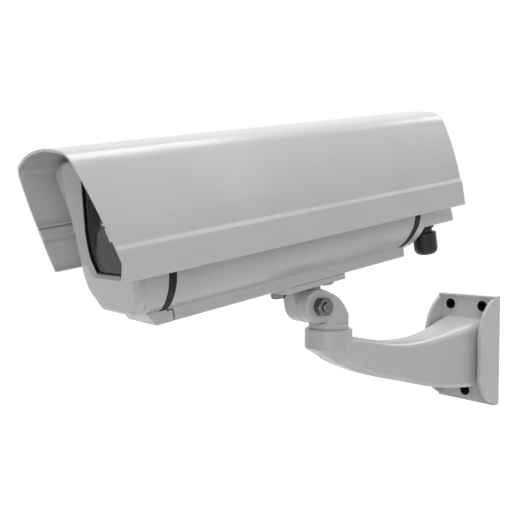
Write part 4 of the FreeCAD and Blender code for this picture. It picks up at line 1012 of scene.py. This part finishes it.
def seen_rays(tree):
    """1 for rays that the camera sees: straight on, in gloss or through glass."""
    path = tree.nodes.new("ShaderNodeLightPath")
    first = tree.nodes.new("ShaderNodeMath")
    first.operation = "MAXIMUM"
    tree.links.new(path.outputs["Is Camera Ray"], first.inputs[0])
    tree.links.new(path.outputs["Is Glossy Ray"], first.inputs[1])
    second = tree.nodes.new("ShaderNodeMath")
    second.operation = "MAXIMUM"
    tree.links.new(first.outputs["Value"], second.inputs[0])
    tree.links.new(path.outputs["Is Transmission Ray"], second.inputs[1])
    return second.outputs["Value"]


def white_world(strength):
    """White where it is seen, and an even grey light on the object."""
    world = bpy.data.worlds.new("studio")
    bpy.context.scene.world = world
    world.use_nodes = True
    tree = world.node_tree
    tree.nodes.clear()
    output = tree.nodes.new("ShaderNodeOutputWorld")
    light = tree.nodes.new("ShaderNodeBackground")
    light.inputs["Color"].default_value = (1.0, 1.0, 1.0, 1.0)
    light.inputs["Strength"].default_value = strength
    seen = tree.nodes.new("ShaderNodeBackground")
    seen.inputs["Color"].default_value = (1.0, 1.0, 1.0, 1.0)
    seen.inputs["Strength"].default_value = 1.0
    mix = tree.nodes.new("ShaderNodeMixShader")
    tree.links.new(seen_rays(tree), mix.inputs["Fac"])
    tree.links.new(light.outputs["Background"], mix.inputs[1])
    tree.links.new(seen.outputs["Background"], mix.inputs[2])
    tree.links.new(mix.outputs["Shader"], output.inputs["Surface"])


def softbox(name, power, size, place, target):
    """A rectangular lamp that faces its target."""
    lamp = bpy.data.lights.new(name, "AREA")
    lamp.shape = "RECTANGLE"
    lamp.size, lamp.size_y = size
    lamp.energy = power
    holder = bpy.data.objects.new(name, lamp)
    bpy.context.scene.collection.objects.link(holder)
    holder.location = place
    aim = Vector(target) - Vector(place)
    holder.rotation_mode = "QUATERNION"
    holder.rotation_quaternion = aim.to_track_quat("-Z", "Y")


class HOUSING_OT_stage(bpy.types.Operator):
    """Sets up the floor, the softboxes and the camera."""

    bl_idname = "housing.stage"
    bl_label = "Set up the stage"

    def execute(self, context):
        s = stage_of()
        scene = context.scene
        scene.view_settings.view_transform = "Standard"
        bm = bmesh.new()
        bmesh.ops.create_grid(bm, x_segments=1, y_segments=1, size=FLOOR_SIZE)
        bmesh.ops.translate(bm, verts=bm.verts, vec=(0.0, 0.0, -s.floor_depth))
        floor = link_mesh("floor", bm)
        floor.data.materials.append(floor_material())
        white_world(s.sky_strength)
        for name, setting, size, place in SOFTBOXES:
            softbox(name, getattr(s, setting), size, place, STAGE_MIDDLE)
        camera = bpy.data.objects.new("camera", bpy.data.cameras.new("camera"))
        scene.collection.objects.link(camera)
        camera.data.sensor_width = 36.0
        camera.data.lens = s.lens
        camera.data.clip_start = 0.01
        camera.data.clip_end = 100.0
        turn = (
            Matrix.Rotation(s.camera_heading, 4, "Z")
            @ Matrix.Rotation(math.pi / 2 - s.camera_pitch, 4, "X")
            @ Matrix.Rotation(s.camera_roll, 4, "Z")
        )
        camera.matrix_world = Matrix.Translation(s.camera_place) @ turn
        scene.camera = camera
        return {"FINISHED"}


OPERATORS = (
    HOUSING_OT_castings,
    HOUSING_OT_extrusions,
    HOUSING_OT_screws,
    HOUSING_OT_seals,
    HOUSING_OT_glands,
    HOUSING_OT_window,
    HOUSING_OT_inside,
    HOUSING_OT_stage,
)


class HOUSING_PT_panel(bpy.types.Panel):
    """Lists the housing's operators and settings."""

    bl_label = "Camera housing"
    bl_idname = "HOUSING_PT_panel"
    bl_space_type = "VIEW_3D"
    bl_region_type = "UI"
    bl_category = "Housing"

    def draw(self, context):
        layout = self.layout
        for operator in OPERATORS:
            layout.operator(operator.bl_idname)
        for settings in (finish_of(), edges_of(), details_of(), stage_of()):
            box = layout.box()
            for name in settings.bl_rna.properties.keys():
                if name not in ("rna_type", "name"):
                    box.prop(settings, name)


GROUPS = {
    "housing_finish": HousingFinish,
    "housing_edges": HousingEdges,
    "housing_details": HousingDetails,
    "housing_stage": HousingStage,
}


def register():
    for group in GROUPS.values():
        bpy.utils.register_class(group)
    for name, group in GROUPS.items():
        setattr(bpy.types.Scene, name, PointerProperty(type=group))
    for operator in OPERATORS:
        bpy.utils.register_class(operator)
    bpy.utils.register_class(HOUSING_PT_panel)


def unregister():
    bpy.utils.unregister_class(HOUSING_PT_panel)
    for operator in reversed(OPERATORS):
        bpy.utils.unregister_class(operator)
    for name in GROUPS:
        delattr(bpy.types.Scene, name)
    for group in reversed(list(GROUPS.values())):
        bpy.utils.unregister_class(group)


def main():
    register()
    bpy.ops.housing.castings()
    bpy.ops.housing.extrusions()
    bpy.ops.housing.screws()
    bpy.ops.housing.seals()
    bpy.ops.housing.glands()
    bpy.ops.housing.window()
    bpy.ops.housing.inside()
    bpy.ops.housing.stage()


if __name__ == "__main__":
    main()
